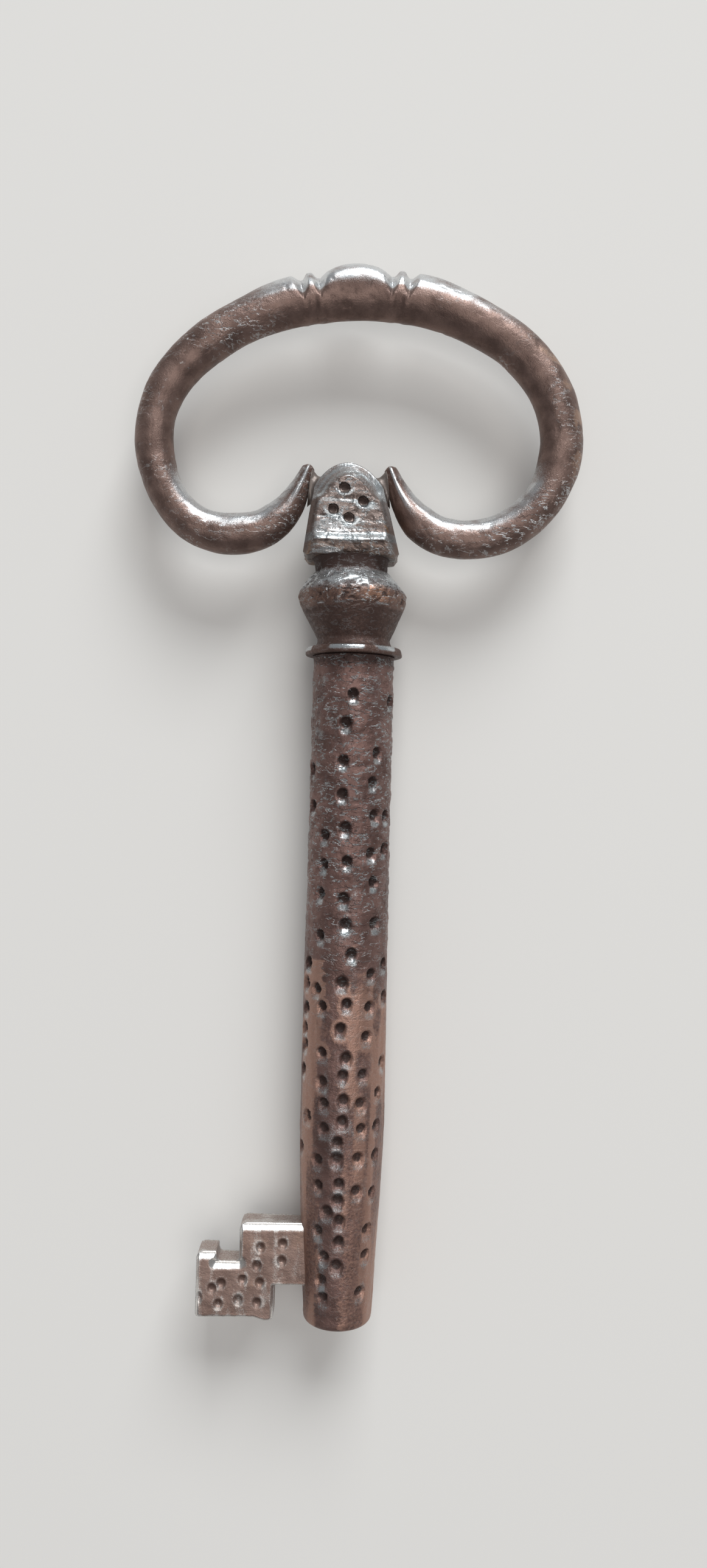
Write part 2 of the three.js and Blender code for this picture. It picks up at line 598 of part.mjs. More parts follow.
// Shares of the way from the crown at which rings stand: close together on the crest, then wider apart
function crownShares(length) {
  const fineCount = Math.ceil((CREST_SHOULDER_AT + CREST_STEP_LENGTH) / CREST_STEP_LENGTH);
  const fine = Array.from({ length: fineCount }, (_, i) => (i * CREST_STEP_LENGTH) / length);
  const plainFrom = fineCount * CREST_STEP_LENGTH;
  const plainCount = Math.ceil((length - plainFrom) / BAR_STEP_LENGTH);
  const plain = Array.from({ length: plainCount }, (_, i) => (
    (plainFrom + ((length - plainFrom) * i) / plainCount) / length
  ));
  return [...fine, ...plain];
}

function evenShares(length, step) {
  const count = Math.ceil(length / step);
  return Array.from({ length: count }, (_, i) => i / count);
}

// The rings of each stretch, each with its place, heading and size, up to the start of the next stretch
function bowStations() {
  const stretches = bowStretches();
  const halves = bowHalves();
  const stations = [];
  stretches.forEach((curve, index) => {
    const length = curve.getLength();
    const leaf = index === 0 || index === stretches.length - 1;
    const fromTipOn = index === 0 ? halves[index] : [...halves[index]].reverse();
    const beforeCrown = index === 2;
    const afterCrown = index === 3;
    let shares = evenShares(length, leaf ? LEAF_STEP_LENGTH : BAR_STEP_LENGTH);
    if (afterCrown) shares = crownShares(length);
    if (beforeCrown) shares = [0, ...crownShares(length).slice(1).reverse().map((share) => 1 - share)];
    for (const share of shares) {
      const distance = beforeCrown ? (share - 1) * length : share * length;
      const fromTip = index === 0 ? share * length : (1 - share) * length;
      stations.push({
        point: curve.getPointAt(share),
        tangent: curve.getTangentAt(share),
        half: leaf ? leafHalf(fromTipOn, fromTip, length) : between(halves[index], share),
        power: leaf ? leafPower(fromTip) : ELLIPSE_POWER,
        ...(beforeCrown || afterCrown ? crest(distance) : { swell: 0, cut: 0 }),
      });
    }
  });
  const last = stretches[stretches.length - 1];
  stations.push({
    point: last.getPointAt(1),
    tangent: last.getTangentAt(1),
    half: LEAF_TIP_HALF,
    power: leafPower(0),
    swell: 0,
    cut: 0,
  });
  return stations;
}

// The skin between rings of points that run the same way round
function skin(rings) {
  const sides = rings[0].length;
  const index = [];
  for (let ring = 0; ring < rings.length - 1; ring += 1) {
    for (let side = 0; side < sides; side += 1) {
      const next = (side + 1) % sides;
      const [a, b] = [ring * sides + side, ring * sides + next];
      index.push(a, b, a + sides, b, b + sides, a + sides);
    }
  }
  return index;
}

function closed(points, index) {
  const geometry = new THREE.BufferGeometry().setFromPoints(points);
  geometry.setIndex(index);
  return geometry;
}

// Rings along a path, closed with a fan over each end
function loft(rings) {
  const sides = rings[0].length;
  const points = rings.flat();
  const index = skin(rings);
  for (const end of [0, rings.length - 1]) {
    const centre = new THREE.Vector3();
    rings[end].forEach((point) => centre.addScaledVector(point, 1 / sides));
    points.push(centre);
    for (let side = 0; side < sides; side += 1) {
      const [a, b] = [end * sides + side, end * sides + ((side + 1) % sides)];
      if (end === 0) index.push(points.length - 1, b, a);
      else index.push(points.length - 1, a, b);
    }
  }
  return closed(points, index);
}

// Level outlines stacked upwards, closed with a flat face at the bottom and at the top
function stack(rings) {
  const index = skin(rings);
  const last = (rings.length - 1) * rings[0].length;
  const bottomFaces = THREE.ShapeUtils.triangulateShape(rings[0].map(flatPoint), []);
  const topFaces = THREE.ShapeUtils.triangulateShape(rings[rings.length - 1].map(flatPoint), []);
  bottomFaces.forEach(([a, b, c]) => index.push(c, b, a));
  topFaces.forEach(([a, b, c]) => index.push(last + a, last + b, last + c));
  return closed(rings.flat(), index);
}

function flatPoint(point) {
  return new THREE.Vector2(point.x, point.y);
}

// The bar itself: an oval section, ridged on the leaves and lifted on its outer half by the crest
function bowBar(grow) {
  const rings = bowStations().map(({ point, tangent, half, power, swell, cut }) => {
    const outward = new THREE.Vector3(-tangent.y, tangent.x, 0);
    return Array.from({ length: BAR_SIDES }, (_, side) => {
      const angle = (2 * Math.PI * side) / BAR_SIDES;
      const [across, height] = [Math.cos(angle), Math.sin(angle)];
      const reach = (Math.abs(across) ** power + Math.abs(height) ** power) ** (-1 / power);
      const outside = Math.max(0, across);
      const notch = cut * Math.sqrt(outside) * (CREST_NOTCH_DEPTH + CREST_CHANNEL_DEPTH * Math.abs(height));
      const out = (half + grow) * reach * across + (swell * outside - notch) * across;
      const up = (half * BAR_FLATNESS + grow) * reach * height;
      return new THREE.Vector3(0, 0, up).addScaledVector(outward, out).add(point);
    });
  });
  return loft(rings);
}

function bowSolid() {
  return solid(bowBar(0))
    .subtract(blockBlank(BRAZE_GAP))
    .add(armTenon(-1, 0))
    .add(armTenon(1, 0));
}

// Braze that fills the valley between an arm's leaf and the side of the block
function webSolid(side) {
  const foot = BLOCK_Y + WEB_FOOT_RISE;
  const top = BLOCK_Y + WEB_TOP_RISE;
  const hornTop = BLOCK_Y + WEB_HORN_RISE;
  const shoulder = blockSideX(BLOCK_SHOULDER_RISE);
  const inside = shoulder - RUN_ON;
  const footReach = blockSideX(BLOCK_MID_RISE) + WEB_REACH;
  const horn = shoulder + LEAF_TIP_SPREAD;
  const corners = [[inside, foot], [footReach, foot], [horn, hornTop], [shoulder, top], [inside, top]];
  const flat = new THREE.Shape(corners.map(([x, y]) => new THREE.Vector2(side * x, y)));
  const web = new THREE.ExtrudeGeometry(flat, { depth: WEB_DEPTH, bevelEnabled: false });
  web.translate(0, 0, -WEB_DEPTH / 2);
  vertexMap(web, (point) => {
    point.z *= 1 - WEB_THINNING * (Math.abs(point.x) - inside);
  });
  return solid(leaned(web))
    .subtract(blockBlank(BRAZE_GAP))
    .subtract(solid(bowBar(BRAZE_GAP)))
    .subtract(armTenon(side, BRAZE_GAP));
}

// The outline of the bit from the front: a stepped top and one square cut beside the pipe.
// Its edges can be drawn in by the bevels, the top edges further than the others.
function bitOutline(topInset, sideInset) {
  const root = bitRootX();
  const top = BIT_TOP - topInset;
  const step = -BIT_STEP_REACH + sideInset;
  const floor = BIT_NOTCH_FLOOR - topInset;
  const prong = -BIT_PRONG - sideInset;
  const prongTop = BIT_PRONG_TOP - topInset;
  const end = -BIT_REACH + sideInset;
  const bottom = BIT_BOTTOM + sideInset;
  const heel = bottom - BIT_HEEL_DROP;
  const cut = -MOUTH_RADIUS - BIT_CUT_WIDTH - sideInset;
  const corner = BIT_CORNER;
  const endCorner = BIT_END_CORNER;
  return [
    [root, BIT_CUT_TOP + sideInset],
    [root, top],
    [step + corner, top],
    ...bend([step + corner, top], [step, top], [step, top - corner], ROUNDING_STEPS),
    [step, floor + corner / 2],
    [step - corner / 2, floor],
    [prong + corner, floor],
    ...bend([prong + corner, floor], [prong, floor], [prong, floor + corner], ROUNDING_STEPS),
    [prong, prongTop],
    [end + corner, prongTop],
    ...bend([end + corner, prongTop], [end, prongTop], [end, prongTop - corner], ROUNDING_STEPS),
    [end, bottom + endCorner],
    ...bend([end, bottom + endCorner], [end, bottom], [end + endCorner, bottom], ROUNDING_STEPS),
    [cut - BIT_HEEL_WIDTH, bottom],
    [cut - BIT_HEEL_WIDTH / 2, heel],
    [cut - corner, heel],
    ...bend([cut - corner, heel], [cut, heel], [cut, heel + corner], ROUNDING_STEPS),
    [cut, BIT_CUT_TOP + sideInset],
  ];
}

// How many times thicker the bit is than at its root
function bitThickening(x) {
  const outwards = Math.max(0, -PIPE_RADIUS - x);
  return 1 + (BIT_THICKENING / BIT_ROOT_THICKNESS) * outwards;
}

function bitSolid() {
  const face = BIT_ROOT_THICKNESS / 2;
  const edge = face - BIT_BEVEL_DEPTH;
  const faceLine = bitOutline(BIT_TOP_BEVEL, BIT_SIDE_BEVEL);
  const edgeLine = bitOutline(0, 0);
  const levels = [[-face, faceLine], [-edge, edgeLine], [edge, edgeLine], [face, faceLine]];
  const blank = stack(levels.map(([z, line]) => line.map(([x, y]) => new THREE.Vector3(x, y, z))));
  vertexMap(blank, (point) => {
    point.z *= bitThickening(point.x);
  });
  return solid(blank).subtract(faceDots(BIT_DOTS, (x) => face * bitThickening(x)));
}

const DARK_IRON = { color: 0x4a3c35, roughness: 0.55, metalness: 0.85 };
const PUNCHED_IRON = { color: 0x4d3c33, roughness: 0.6, metalness: 0.8 };
const WORN_IRON = { color: 0x6b584b, roughness: 0.5, metalness: 0.85 };
const BRAZE = { color: 0x85807a, roughness: 0.5, metalness: 0.85 };

const key = new THREE.Group();

function place(name, shape, finish) {
  const mesh = new THREE.Mesh(geometryOf(shape), new THREE.MeshStandardMaterial(finish));
  mesh.name = name;
  key.add(mesh);
}

place('pipe_shank', pipeSolid(), PUNCHED_IRON);
place('collar_ring', collarSolid(), DARK_IRON);
place('neck_baluster', neckSolid(), DARK_IRON);
place('head_block', headBlockSolid(), DARK_IRON);
place('bow_ring', bowSolid(), DARK_IRON);
place('bow_braze_left', webSolid(-1), BRAZE);
place('bow_braze_right', webSolid(1), BRAZE);
place('bit', bitSolid(), WORN_IRON);

// Set the origin on the resting surface, under the middle of the outline
const outline = new THREE.Box3().setFromObject(key);
const middle = outline.getCenter(new THREE.Vector3());
key.position.set(-middle.x, -middle.y, -outline.min.z);

const part = new THREE.Group();
part.add(key);

export default part;
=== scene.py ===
"""Looks of the wrought iron pipe key: punched pipe, turned neck, filed block, forged bow and stepped bit.

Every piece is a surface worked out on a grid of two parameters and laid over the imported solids. Its points
are in millimetres until key_points: across from the pipe's axis, along from the pipe's mouth, and up from
the axis. The floor, the lamps and the camera stand in metres.
"""

import math

import bmesh
import bpy
import numpy as np
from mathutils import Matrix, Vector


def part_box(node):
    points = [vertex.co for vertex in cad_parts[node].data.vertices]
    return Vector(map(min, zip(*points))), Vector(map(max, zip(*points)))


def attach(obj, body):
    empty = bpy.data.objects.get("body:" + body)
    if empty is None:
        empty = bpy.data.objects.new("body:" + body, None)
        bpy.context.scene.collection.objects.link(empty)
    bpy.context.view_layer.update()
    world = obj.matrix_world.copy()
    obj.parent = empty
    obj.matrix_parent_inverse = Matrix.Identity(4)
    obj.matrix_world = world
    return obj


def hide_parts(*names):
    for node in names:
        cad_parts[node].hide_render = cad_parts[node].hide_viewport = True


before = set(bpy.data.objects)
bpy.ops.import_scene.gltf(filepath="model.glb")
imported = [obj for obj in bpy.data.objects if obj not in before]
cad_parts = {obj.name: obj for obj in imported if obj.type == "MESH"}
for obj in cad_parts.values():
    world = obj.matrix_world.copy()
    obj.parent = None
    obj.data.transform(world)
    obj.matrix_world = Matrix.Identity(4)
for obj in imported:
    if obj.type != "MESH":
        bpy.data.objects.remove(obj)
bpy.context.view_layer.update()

MM = 0.001
STEP = 0.18  # spacing of the rows along the pipe
ROUND = 184  # points round a turned piece
BAR_ROUND = 112  # points round the bow's bar
BAR_STEP, CREST_STEP, TIP_STEP = 0.3, 0.11, 0.15  # spacing of its rows
OUTLINE_STEP = 0.16  # spacing of the points of the block's outline
BIT_OUTLINE_STEP = 0.17
MIXERS = (374761393, 668265263, 1440662683, 974634777, 1274126177)  # large odd numbers for lattice()

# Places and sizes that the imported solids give
PIPE_LOW, PIPE_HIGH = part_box("pipe_shank")
COLLAR_LOW, COLLAR_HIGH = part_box("collar_ring")
NECK_LOW, NECK_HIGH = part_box("neck_baluster")
BLOCK_LOW, BLOCK_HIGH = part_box("head_block")
BIT_LOW, BIT_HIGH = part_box("bit")
AXIS_X = (PIPE_LOW.x + PIPE_HIGH.x) / 2 / MM
AXIS_Z = (PIPE_LOW.z + PIPE_HIGH.z) / 2 / MM
MOUTH_Y = PIPE_LOW.y / MM
PIPE_LENGTH = PIPE_HIGH.y / MM - MOUTH_Y
PIPE_RADIUS = (PIPE_HIGH.z - PIPE_LOW.z) / 2 / MM
COLLAR_RADIUS = (COLLAR_HIGH.z - COLLAR_LOW.z) / 2 / MM
NECK_START = COLLAR_HIGH.y / MM - MOUTH_Y
BEAD_RADIUS = (NECK_HIGH.z - NECK_LOW.z) / 2 / MM
SPIGOT_START = NECK_LOW.y / MM - MOUTH_Y
TENON_END = NECK_HIGH.y / MM - MOUTH_Y
BLOCK_START = BLOCK_LOW.y / MM - MOUTH_Y
BLOCK_HEIGHT = BLOCK_HIGH.y / MM - MOUTH_Y - BLOCK_START
BLOCK_BASE_HALF = (BLOCK_HIGH.x - BLOCK_LOW.x) / 2 / MM
RIDGE_HALF_DEPTH = (BLOCK_HIGH.z - BLOCK_LOW.z) / 2 / MM

# The pipe
PIPE_TOP_RADIUS = 5.05
MOUTH_RADIUS = 4.2
MOUTH_ROUNDING = 0.7
TAPER_LENGTH = 24
TAPER_BULGE = 0.12
BORE_RADIUS = 3.0
BORE_DEPTH = 55
DRILL_POINT = 1.7
SPIGOT_HOLE_RADIUS = 3.25

# Punched dots on the pipe: degrees round it from the front, with distances from the mouth and small
# sideways drifts in degrees, as they stand in five wandering columns
DOT_RADIUS = 0.72
DOT_DEPTH = 0.8
DOT_RAMP = 2.0  # length of a dot's wedge, in radii
DOT_COLUMNS = (
    (-67, ((21.5, -5), (25.5, 12), (31, -3), (34, -1), (36, -2), (38.5, 1), (41.5, -1), (44, 5), (63, 3),
           (67.5, -1))),
    (-33, ((4, 9), (6, 5), (9, 10), (12, -1), (14.5, 14), (17.5, 0), (20.5, -2), (24.5, 8), (27.5, 7),
           (30, 3), (33.5, 2), (39, 0), (41, -11), (47.5, -6), (52.5, -9), (56, -5), (59.5, -4))),
    (-3, ((8, 0), (11, 3), (13.5, 3), (16, 0), (18, 1), (21, -3), (23, -2), (25.5, 3), (28, 5), (31, 3),
          (33, 7), (36.5, -2), (39.5, 6), (42, -2), (45.5, 10), (49, 1), (52, -3), (56.5, 1), (60.5, -3),
          (64.5, -8), (68.5, -8), (73, -6), (76.5, 4))),
    (32, ((17, -8), (21, -8), (24.5, -5), (27.5, -6), (31, -4), (35.5, 0), (39, 4), (43, 5), (49, 10),
          (54, 6), (57.5, 1), (62, 6), (66, 1), (69.5, 8))),
    (61, ((4.5, -24), (9, -17), (12, -16), (16.5, -10), (21, -7), (24.5, -6), (28.5, -5), (32, 5), (40, 6),
          (44, 3), (58, 0), (62, 0), (76, 5))),
)
BACK_SLIDE = -1.3  # the same columns go on round the back, a little nearer the mouth

# The collar and the neck
COLLAR_ROUNDING = 0.2
COLLAR_WEAR = 0.75  # how far its upper edge is worn round
COLLAR_FACE_RADIUS = 4.6  # where each flat face has one more row of points
NECK_FOOT_RADIUS = 5.1
NECK_WAIST_RADIUS = 4.5
NECK_WAIST_RISE = 1.1
NECK_SCOOP = 0.35
BEAD_RISE = 6.45
BEAD_CUP_DROP = 1.6
BEAD_CUP_INSET = 0.35
BEAD_DOME_RISE = 2.9
BEAD_DOME_INSET = 0.25
COVE_RADIUS = 4.5
NECK_TOP_RADIUS = 4.8
SPIGOT_RADIUS = 3.0
TENON_RADIUS = 2.6
HEAD_LEAN = 0.0575  # millimetres sideways for each millimetre above the collar

# The block
BLOCK_MID_HALF = 4.95
BLOCK_SHOULDER_HALF = 4.2
BLOCK_MID_RISE = 5.1
BLOCK_SHOULDER_RISE = 8.4
BLOCK_CORNER = 0.45
BLOCK_EDGE_HALF = 2.3
SIDE_BEVEL = 0.8
SIDE_FLARE = 2.4  # the bevel climbs on, past the ridges, over this many times its width
ARCH_BEVEL = 1.8
ARCH_FLARE = 1.4
ARCH_FULLNESS = 0.45
ARCH_LEAN_IN = 0.7
PANEL_HALF = 4.0
PANEL_TOP_HALF = 3.6
RIDGE_RISE = 1.6
FLARE_RISE = 2.9
LIP_HALF = 3.9
BLOCK_MIDDLE_RISE = 5.2  # the place that the outline shrinks to
BLOCK_DOTS = ((-0.5, 8.0), (1.7, 6.4), (-1.9, 5.4), (-0.1, 4.4))  # across and above the foot
BLOCK_DOT = (0.52, 0.5, 1.8)  # radius, depth and length of the wedge in radii
BLOCK_DOT_OVAL = 0.85  # distances across count less, so that the dots are wider than tall

# The bow
BOW_LEFT_REACH = 24.2
BOW_RIGHT_REACH = 26.15
BOW_WAIST_RISE = 15.2
BOW_CROWN_RISE = 32.3
LOBE_REACH = 14.45
LOBE_RISE = 2.85
LEAF_TIP_RISE = 11.75
LEAF_TIP_SPREAD = 0.7
LEAF_TIP_TURN = math.radians(70)
LOBE_FULLNESS = (0.6, 0.5523)  # handles of the curves as shares, left and right: 0.55 is an ellipse
SIDE_FULLNESS = (0.49, 0.46)
CROWN_FULLNESS = (0.6, 0.7)
CROWN_TILT = math.radians(2.5)  # the bar still climbs to the right at the crown
LOBE_HANDLE = 6.0
LEAF_HANDLE = 5.0
LEAF_TIP_HALF = 0.6
LEAF_LENGTH = 8.0  # from a leaf's tip to where the arm has its full width
LEAF_RIDGE_LENGTH = 11.0
ARM_HALF = 2.35
LOBE_HALF = (2.68, 2.42)
TURN_HALF = (2.35, 2.57)
SIDE_HALF = (2.47, 2.72)
SHOULDER_HALF = (2.7, 2.85)
CROWN_HALF = 2.75
BAR_FLATNESS = 0.95
CREST_SHIFT = 0.3
BEAD_HALF_LENGTH = 4.15
BEAD_LIFT = 1.5
BEAD_POWER = 0.85
RIB_AT = 5.35
RIB_LIFT = 0.75
RIB_HALF_LENGTH = 0.9
NOTCH_DEPTH = 0.6
NOTCH_HALF_LENGTH = 0.85
SCOOP_DEPTH = 0.5  # of the slope filed along the ribs and the shoulders
SCOOP_LIFT = 0.25
SHOULDER_RAMP = 1.1
INNER_NOTCH_AT = 4.35
OUTER_NOTCH_AT = 6.45
SHOULDER_AT = 7.5
SHOULDER_LIFT = 0.75
SHOULDER_FADE = 10
BRAZE_SEAM = 0.06  # how far the arms stand off the block's sides
ARM_LENGTH = 14  # from a leaf's tip, the part of the bar that may meet the block
ARM_HALF_DEPTH = 3.2
TIP_ROUNDING = 0.45

# The webs of braze
WEB_TOP_RISE = 10.6
WEB_FOOT_RISE = 6.5
WEB_HALF_DEPTH = 1.75
WEB_SINK = 0.12  # how far a web reaches into the block's side
WEB_REACH = 0.4  # how far past the block's shoulder it meets the leaf
WEB_WAIST = 0.45  # share of the way to the leaf where it is drawn in most

# The bit
BIT_REACH = AXIS_X - BIT_LOW.x / MM
BIT_ROOT = AXIS_X - BIT_HIGH.x / MM
BIT_TOP = BIT_HIGH.y / MM - MOUTH_Y
BIT_STEP_AT = 12.1
BIT_NOTCH_FLOOR = 7.3
BIT_PRONG_AT = 14.9
BIT_PRONG_TOP = 8.5
BIT_BOTTOM = 0.55
BIT_HEEL_DROP = 0.4
BIT_HEEL_WIDTH = 2.4
BIT_CUT_AT = 7.8
BIT_CUT_TOP = 4.5
BIT_ROOT_HALF = 1.95
BIT_THICKENING = 0.035  # half thickness gained for each millimetre outwards
BIT_SPINE_RISE = 5.9
BIT_TUCK = 0.2  # how far in from the bit's edges the pipe gives way to its root
BIT_DOT = (0.5, 0.4, 1.8)  # radius, depth and length of the wedge in radii
BIT_DOTS = ((-9.5, 9.3), (-6.8, 9.8), (-9.9, 7.1), (-6.9, 7.7), (-14.2, 4.9), (-11.6, 5.4), (-9.5, 5.0),
            (-15.3, 4.3), (-14.5, 2.4), (-12.1, 2.9), (-9.8, 2.6), (-17.0, 3.2))


def key_points(across, along, up):
    """Joins three arrays of millimetres into points of the frame, in metres."""
    across, along, up = np.broadcast_arrays(across, along, up)
    return np.stack([AXIS_X + across, MOUTH_Y + along, AXIS_Z + up], axis=-1) * MM


def ease(low, high, value):
    """A share from 0 at low to 1 at high, level at both ends: s squared times three less twice s."""
    share = np.clip((value - low) / (high - low), 0, 1)
    return share * share * (3 - 2 * share)


def lattice(cell, seed):
    """A repeatable number from 0 to 1 for each whole-number point, mixed from its coordinates and a seed."""
    across, along, up = (cell[..., axis] * MIXERS[axis] for axis in range(3))
    mixed = across + along + up + seed * MIXERS[3]
    mixed = (mixed ^ (mixed >> 13)) * MIXERS[4]
    mixed = mixed ^ (mixed >> 16)
    return (mixed & 0xFFFFFF) / 0xFFFFFF


def noise(points, size, seed):
    """Numbers from -1 to 1 that vary smoothly: each point blends the lattice numbers round its cell.

    size is the cell in millimetres, one number or one for each direction."""
    spread = np.asarray(points) / size
    cell = np.floor(spread).astype(np.int64)
    share = spread - cell
    share = share * share * (3 - 2 * share)
    total = np.zeros(spread.shape[:-1])
    for corner in range(8):
        step = np.array([corner & 1, corner >> 1 & 1, corner >> 2 & 1])
        weight = np.prod(np.where(step == 1, share, 1 - share), axis=-1)
        total += weight * lattice(cell + step, seed)
    return total * 2 - 1


def rough(points, size, seed, layers=4):
    """Layers of noise, each with half the cell and half the height of the one before."""
    total = np.zeros(np.asarray(points).shape[:-1])
    for layer in range(layers):
        total += noise(points, np.asarray(size) / 2 ** layer, seed + layer) / 2 ** layer
    return total


def terraces(value, width):
    """Layers of scale: value climbs in whole steps, each with a riser over the last share of the step."""
    step = np.floor(value)
    return step + ease(1 - width, 1, value - step)


def punch(beside, ahead, radius, depth, ramp):
    """Depth of a dot struck with a leaning punch, at places beside its middle and ahead of it, up the key.

    It is a half ball, then a wedge behind it that rises and narrows to a blunt point."""
    distance = np.hypot(beside, ahead)
    bowl = depth * np.sqrt(np.clip(1 - (distance / radius) ** 2, 0, 1))
    back = np.clip(-ahead / (ramp * radius), 0, 1)
    half = 1.08 * radius * np.sqrt(1 - back ** 1.6)
    wedge = 0.8 * depth * (1 - back) * (1 - ease(0.8, 1, np.abs(beside) / np.maximum(half, 0.01)))
    return np.maximum(bowl, np.where(ahead < 0, wedge, 0))


def quadratic(start, control, end, steps):
    """Points on a quadratic curve, without the first: (1-t)^2 start + 2t(1-t) control + t^2 end."""
    t = np.linspace(0, 1, steps + 1)[1:, None]
    start, control, end = map(np.asarray, (start, control, end))
    return (1 - t) ** 2 * start + 2 * t * (1 - t) * control + t ** 2 * end


def cubic(start, first, second, end, t):
    """Points on a cubic curve: the four places weighted by the cubic Bernstein shares of t."""
    t = t[:, None]
    start, first, second, end = map(np.asarray, (start, first, second, end))
    return ((1 - t) ** 3 * start + 3 * t * (1 - t) ** 2 * first + 3 * t ** 2 * (1 - t) * second
            + t ** 3 * end)


def even(points, step):
    """The same broken line with points at an even spacing of about step, corners kept."""
    points = np.asarray(points, dtype=float)
    stretches = []
    for here, there in zip(points[:-1], points[1:]):
        count = max(1, round(float(np.linalg.norm(there - here)) / step))
        stretches.append(here + (there - here) * np.arange(count)[:, None] / count)
    return np.concatenate([*stretches, points[-1:]])


def piece(name, points, finish, node, marks):
    """Makes a grid of points into a closed mesh: a four-cornered face between each four neighbours.

    The grid goes round in its columns. Points that fall together, as at a pole, are merged, and the faces
    are then turned outwards. marks holds a number for each point."""
    rows, columns = points.shape[:2]
    index = np.arange(rows * columns).reshape(rows, columns)
    here, there = index[:-1], index[1:]
    faces = np.stack([here, np.roll(here, -1, axis=1), np.roll(there, -1, axis=1), there], axis=-1)
    mesh = bpy.data.meshes.new(name)
    mesh.from_pydata(points.reshape(-1, 3), [], faces.reshape(-1, 4))
    for mark, values in marks.items():
        layer = mesh.attributes.new(mark, "FLOAT", "POINT")
        values = np.broadcast_to(values, (rows, columns))
        layer.data.foreach_set("value", values.astype(np.float32).ravel())
    work = bmesh.new()
    work.from_mesh(mesh)
    bmesh.ops.remove_doubles(work, verts=work.verts, dist=1e-7)
    bmesh.ops.recalc_face_normals(work, faces=work.faces)
    work.to_mesh(mesh)
    work.free()
    mesh.shade_smooth()
    mesh.materials.append(finish)
    made = bpy.data.objects.new(name, mesh)
    bpy.context.scene.collection.objects.link(made)
    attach(made, "root")
    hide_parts(node)


class Finish:
    """A material under construction, with short names for the nodes that the iron needs."""

    def __init__(self, name):
        self.material = bpy.data.materials.new(name)
        self.material.use_nodes = True
        self.nodes = self.material.node_tree.nodes
        self.links = self.material.node_tree.links
        self.shader = self.nodes["Principled BSDF"]
        self.place = self.nodes.new("ShaderNodeTexCoord").outputs["Object"]

    def mark(self, name):
        """The number of that name that each point of the mesh holds."""
        node = self.nodes.new("ShaderNodeAttribute")
        node.attribute_name = name
        return node.outputs["Fac"]

    def grain(self, size, detail=4.0, stretch=(1, 1, 1), roughness=0.55):
        """Noise with cells of size millimetres, longer by stretch in each direction."""
        mapping = self.nodes.new("ShaderNodeMapping")
        mapping.inputs["Scale"].default_value = [1 / (size * MM * part) for part in stretch]
        self.links.new(self.place, mapping.inputs["Vector"])
        node = self.nodes.new("ShaderNodeTexNoise")
        node.inputs["Scale"].default_value = 1.0
        node.inputs["Detail"].default_value = detail
        node.inputs["Roughness"].default_value = roughness
        self.links.new(mapping.outputs["Vector"], node.inputs["Vector"])
        return node.outputs["Fac"]

    def between(self, value, low, high):
        """value moved from low..high to 0..1 and held there."""
        node = self.nodes.new("ShaderNodeMapRange")
        node.interpolation_type = "SMOOTHSTEP"
        node.inputs["From Min"].default_value = low
        node.inputs["From Max"].default_value = high
        self.links.new(value, node.inputs["Value"])
        return node.outputs["Result"]

    def sum(self, operation, first, second):
        """What a Math node makes of two numbers, each a socket or a plain number."""
        node = self.nodes.new("ShaderNodeMath")
        node.operation = operation
        for socket, value in zip(node.inputs, (first, second)):
            if isinstance(value, (int, float)):
                socket.default_value = value
            else:
                self.links.new(value, socket)
        return node.outputs["Value"]

    def mix(self, share, first, second):
        """Two colours blended by share, each given as three numbers or as a socket."""
        node = self.nodes.new("ShaderNodeMix")
        node.data_type = "RGBA"
        self.links.new(share, node.inputs["Factor"])
        sockets = [s for s in node.inputs if s.type == "RGBA"]
        for socket, value in zip(sockets, (first, second)):
            if isinstance(value, tuple):
                socket.default_value = (*value, 1)
            else:
                self.links.new(value, socket)
        return [s for s in node.outputs if s.type == "RGBA"][0]

    def steps(self, value, count):
        """value cut into count steps with steep risers, and a share that is 1 midway up each riser."""
        scaled = self.sum("MULTIPLY", value, float(count))
        share = self.sum("FRACT", scaled, 0.0)
        whole = self.sum("ADD", self.sum("FLOOR", scaled, 0.0), self.between(share, 0.7, 1.0))
        riser = self.between(self.sum("ABSOLUTE", self.sum("SUBTRACT", share, 0.84), 0.0), 0.17, 0.05)
        return self.sum("DIVIDE", whole, float(count)), riser

    def ramp(self, share, first, second):
        """A number from first to second as share goes from 0 to 1."""
        node = self.nodes.new("ShaderNodeMapRange")
        node.inputs["To Min"].default_value = first
        node.inputs["To Max"].default_value = second
        self.links.new(share, node.inputs["Value"])
        return node.outputs["Result"]

    def relief(self, *layers):
        """Bumps one over another, each with a height signal, a depth in millimetres and a strength."""
        normal = None
        for height, depth, strength in layers:
            node = self.nodes.new("ShaderNodeBump")
            node.inputs["Distance"].default_value = depth * MM
            if isinstance(strength, float):
                node.inputs["Strength"].default_value = strength
            else:
                self.links.new(strength, node.inputs["Strength"])
            self.links.new(height, node.inputs["Height"])
            if normal is not None:
                self.links.new(normal, node.inputs["Normal"])
            normal = node.outputs["Normal"]
        self.links.new(normal, self.shader.inputs["Normal"])

    def set(self, name, value):
        """Links value to the input of that name on the shader."""
        self.links.new(value, self.shader.inputs[name])


def colour(red, green, blue):
    """A colour given as 0 to 255 on screen, as the linear numbers that a shader takes."""
    shares = [part / 255 for part in (red, green, blue)]
    return tuple(s / 12.92 if s <= 0.04045 else ((s + 0.055) / 1.055) ** 2.4 for s in shares)


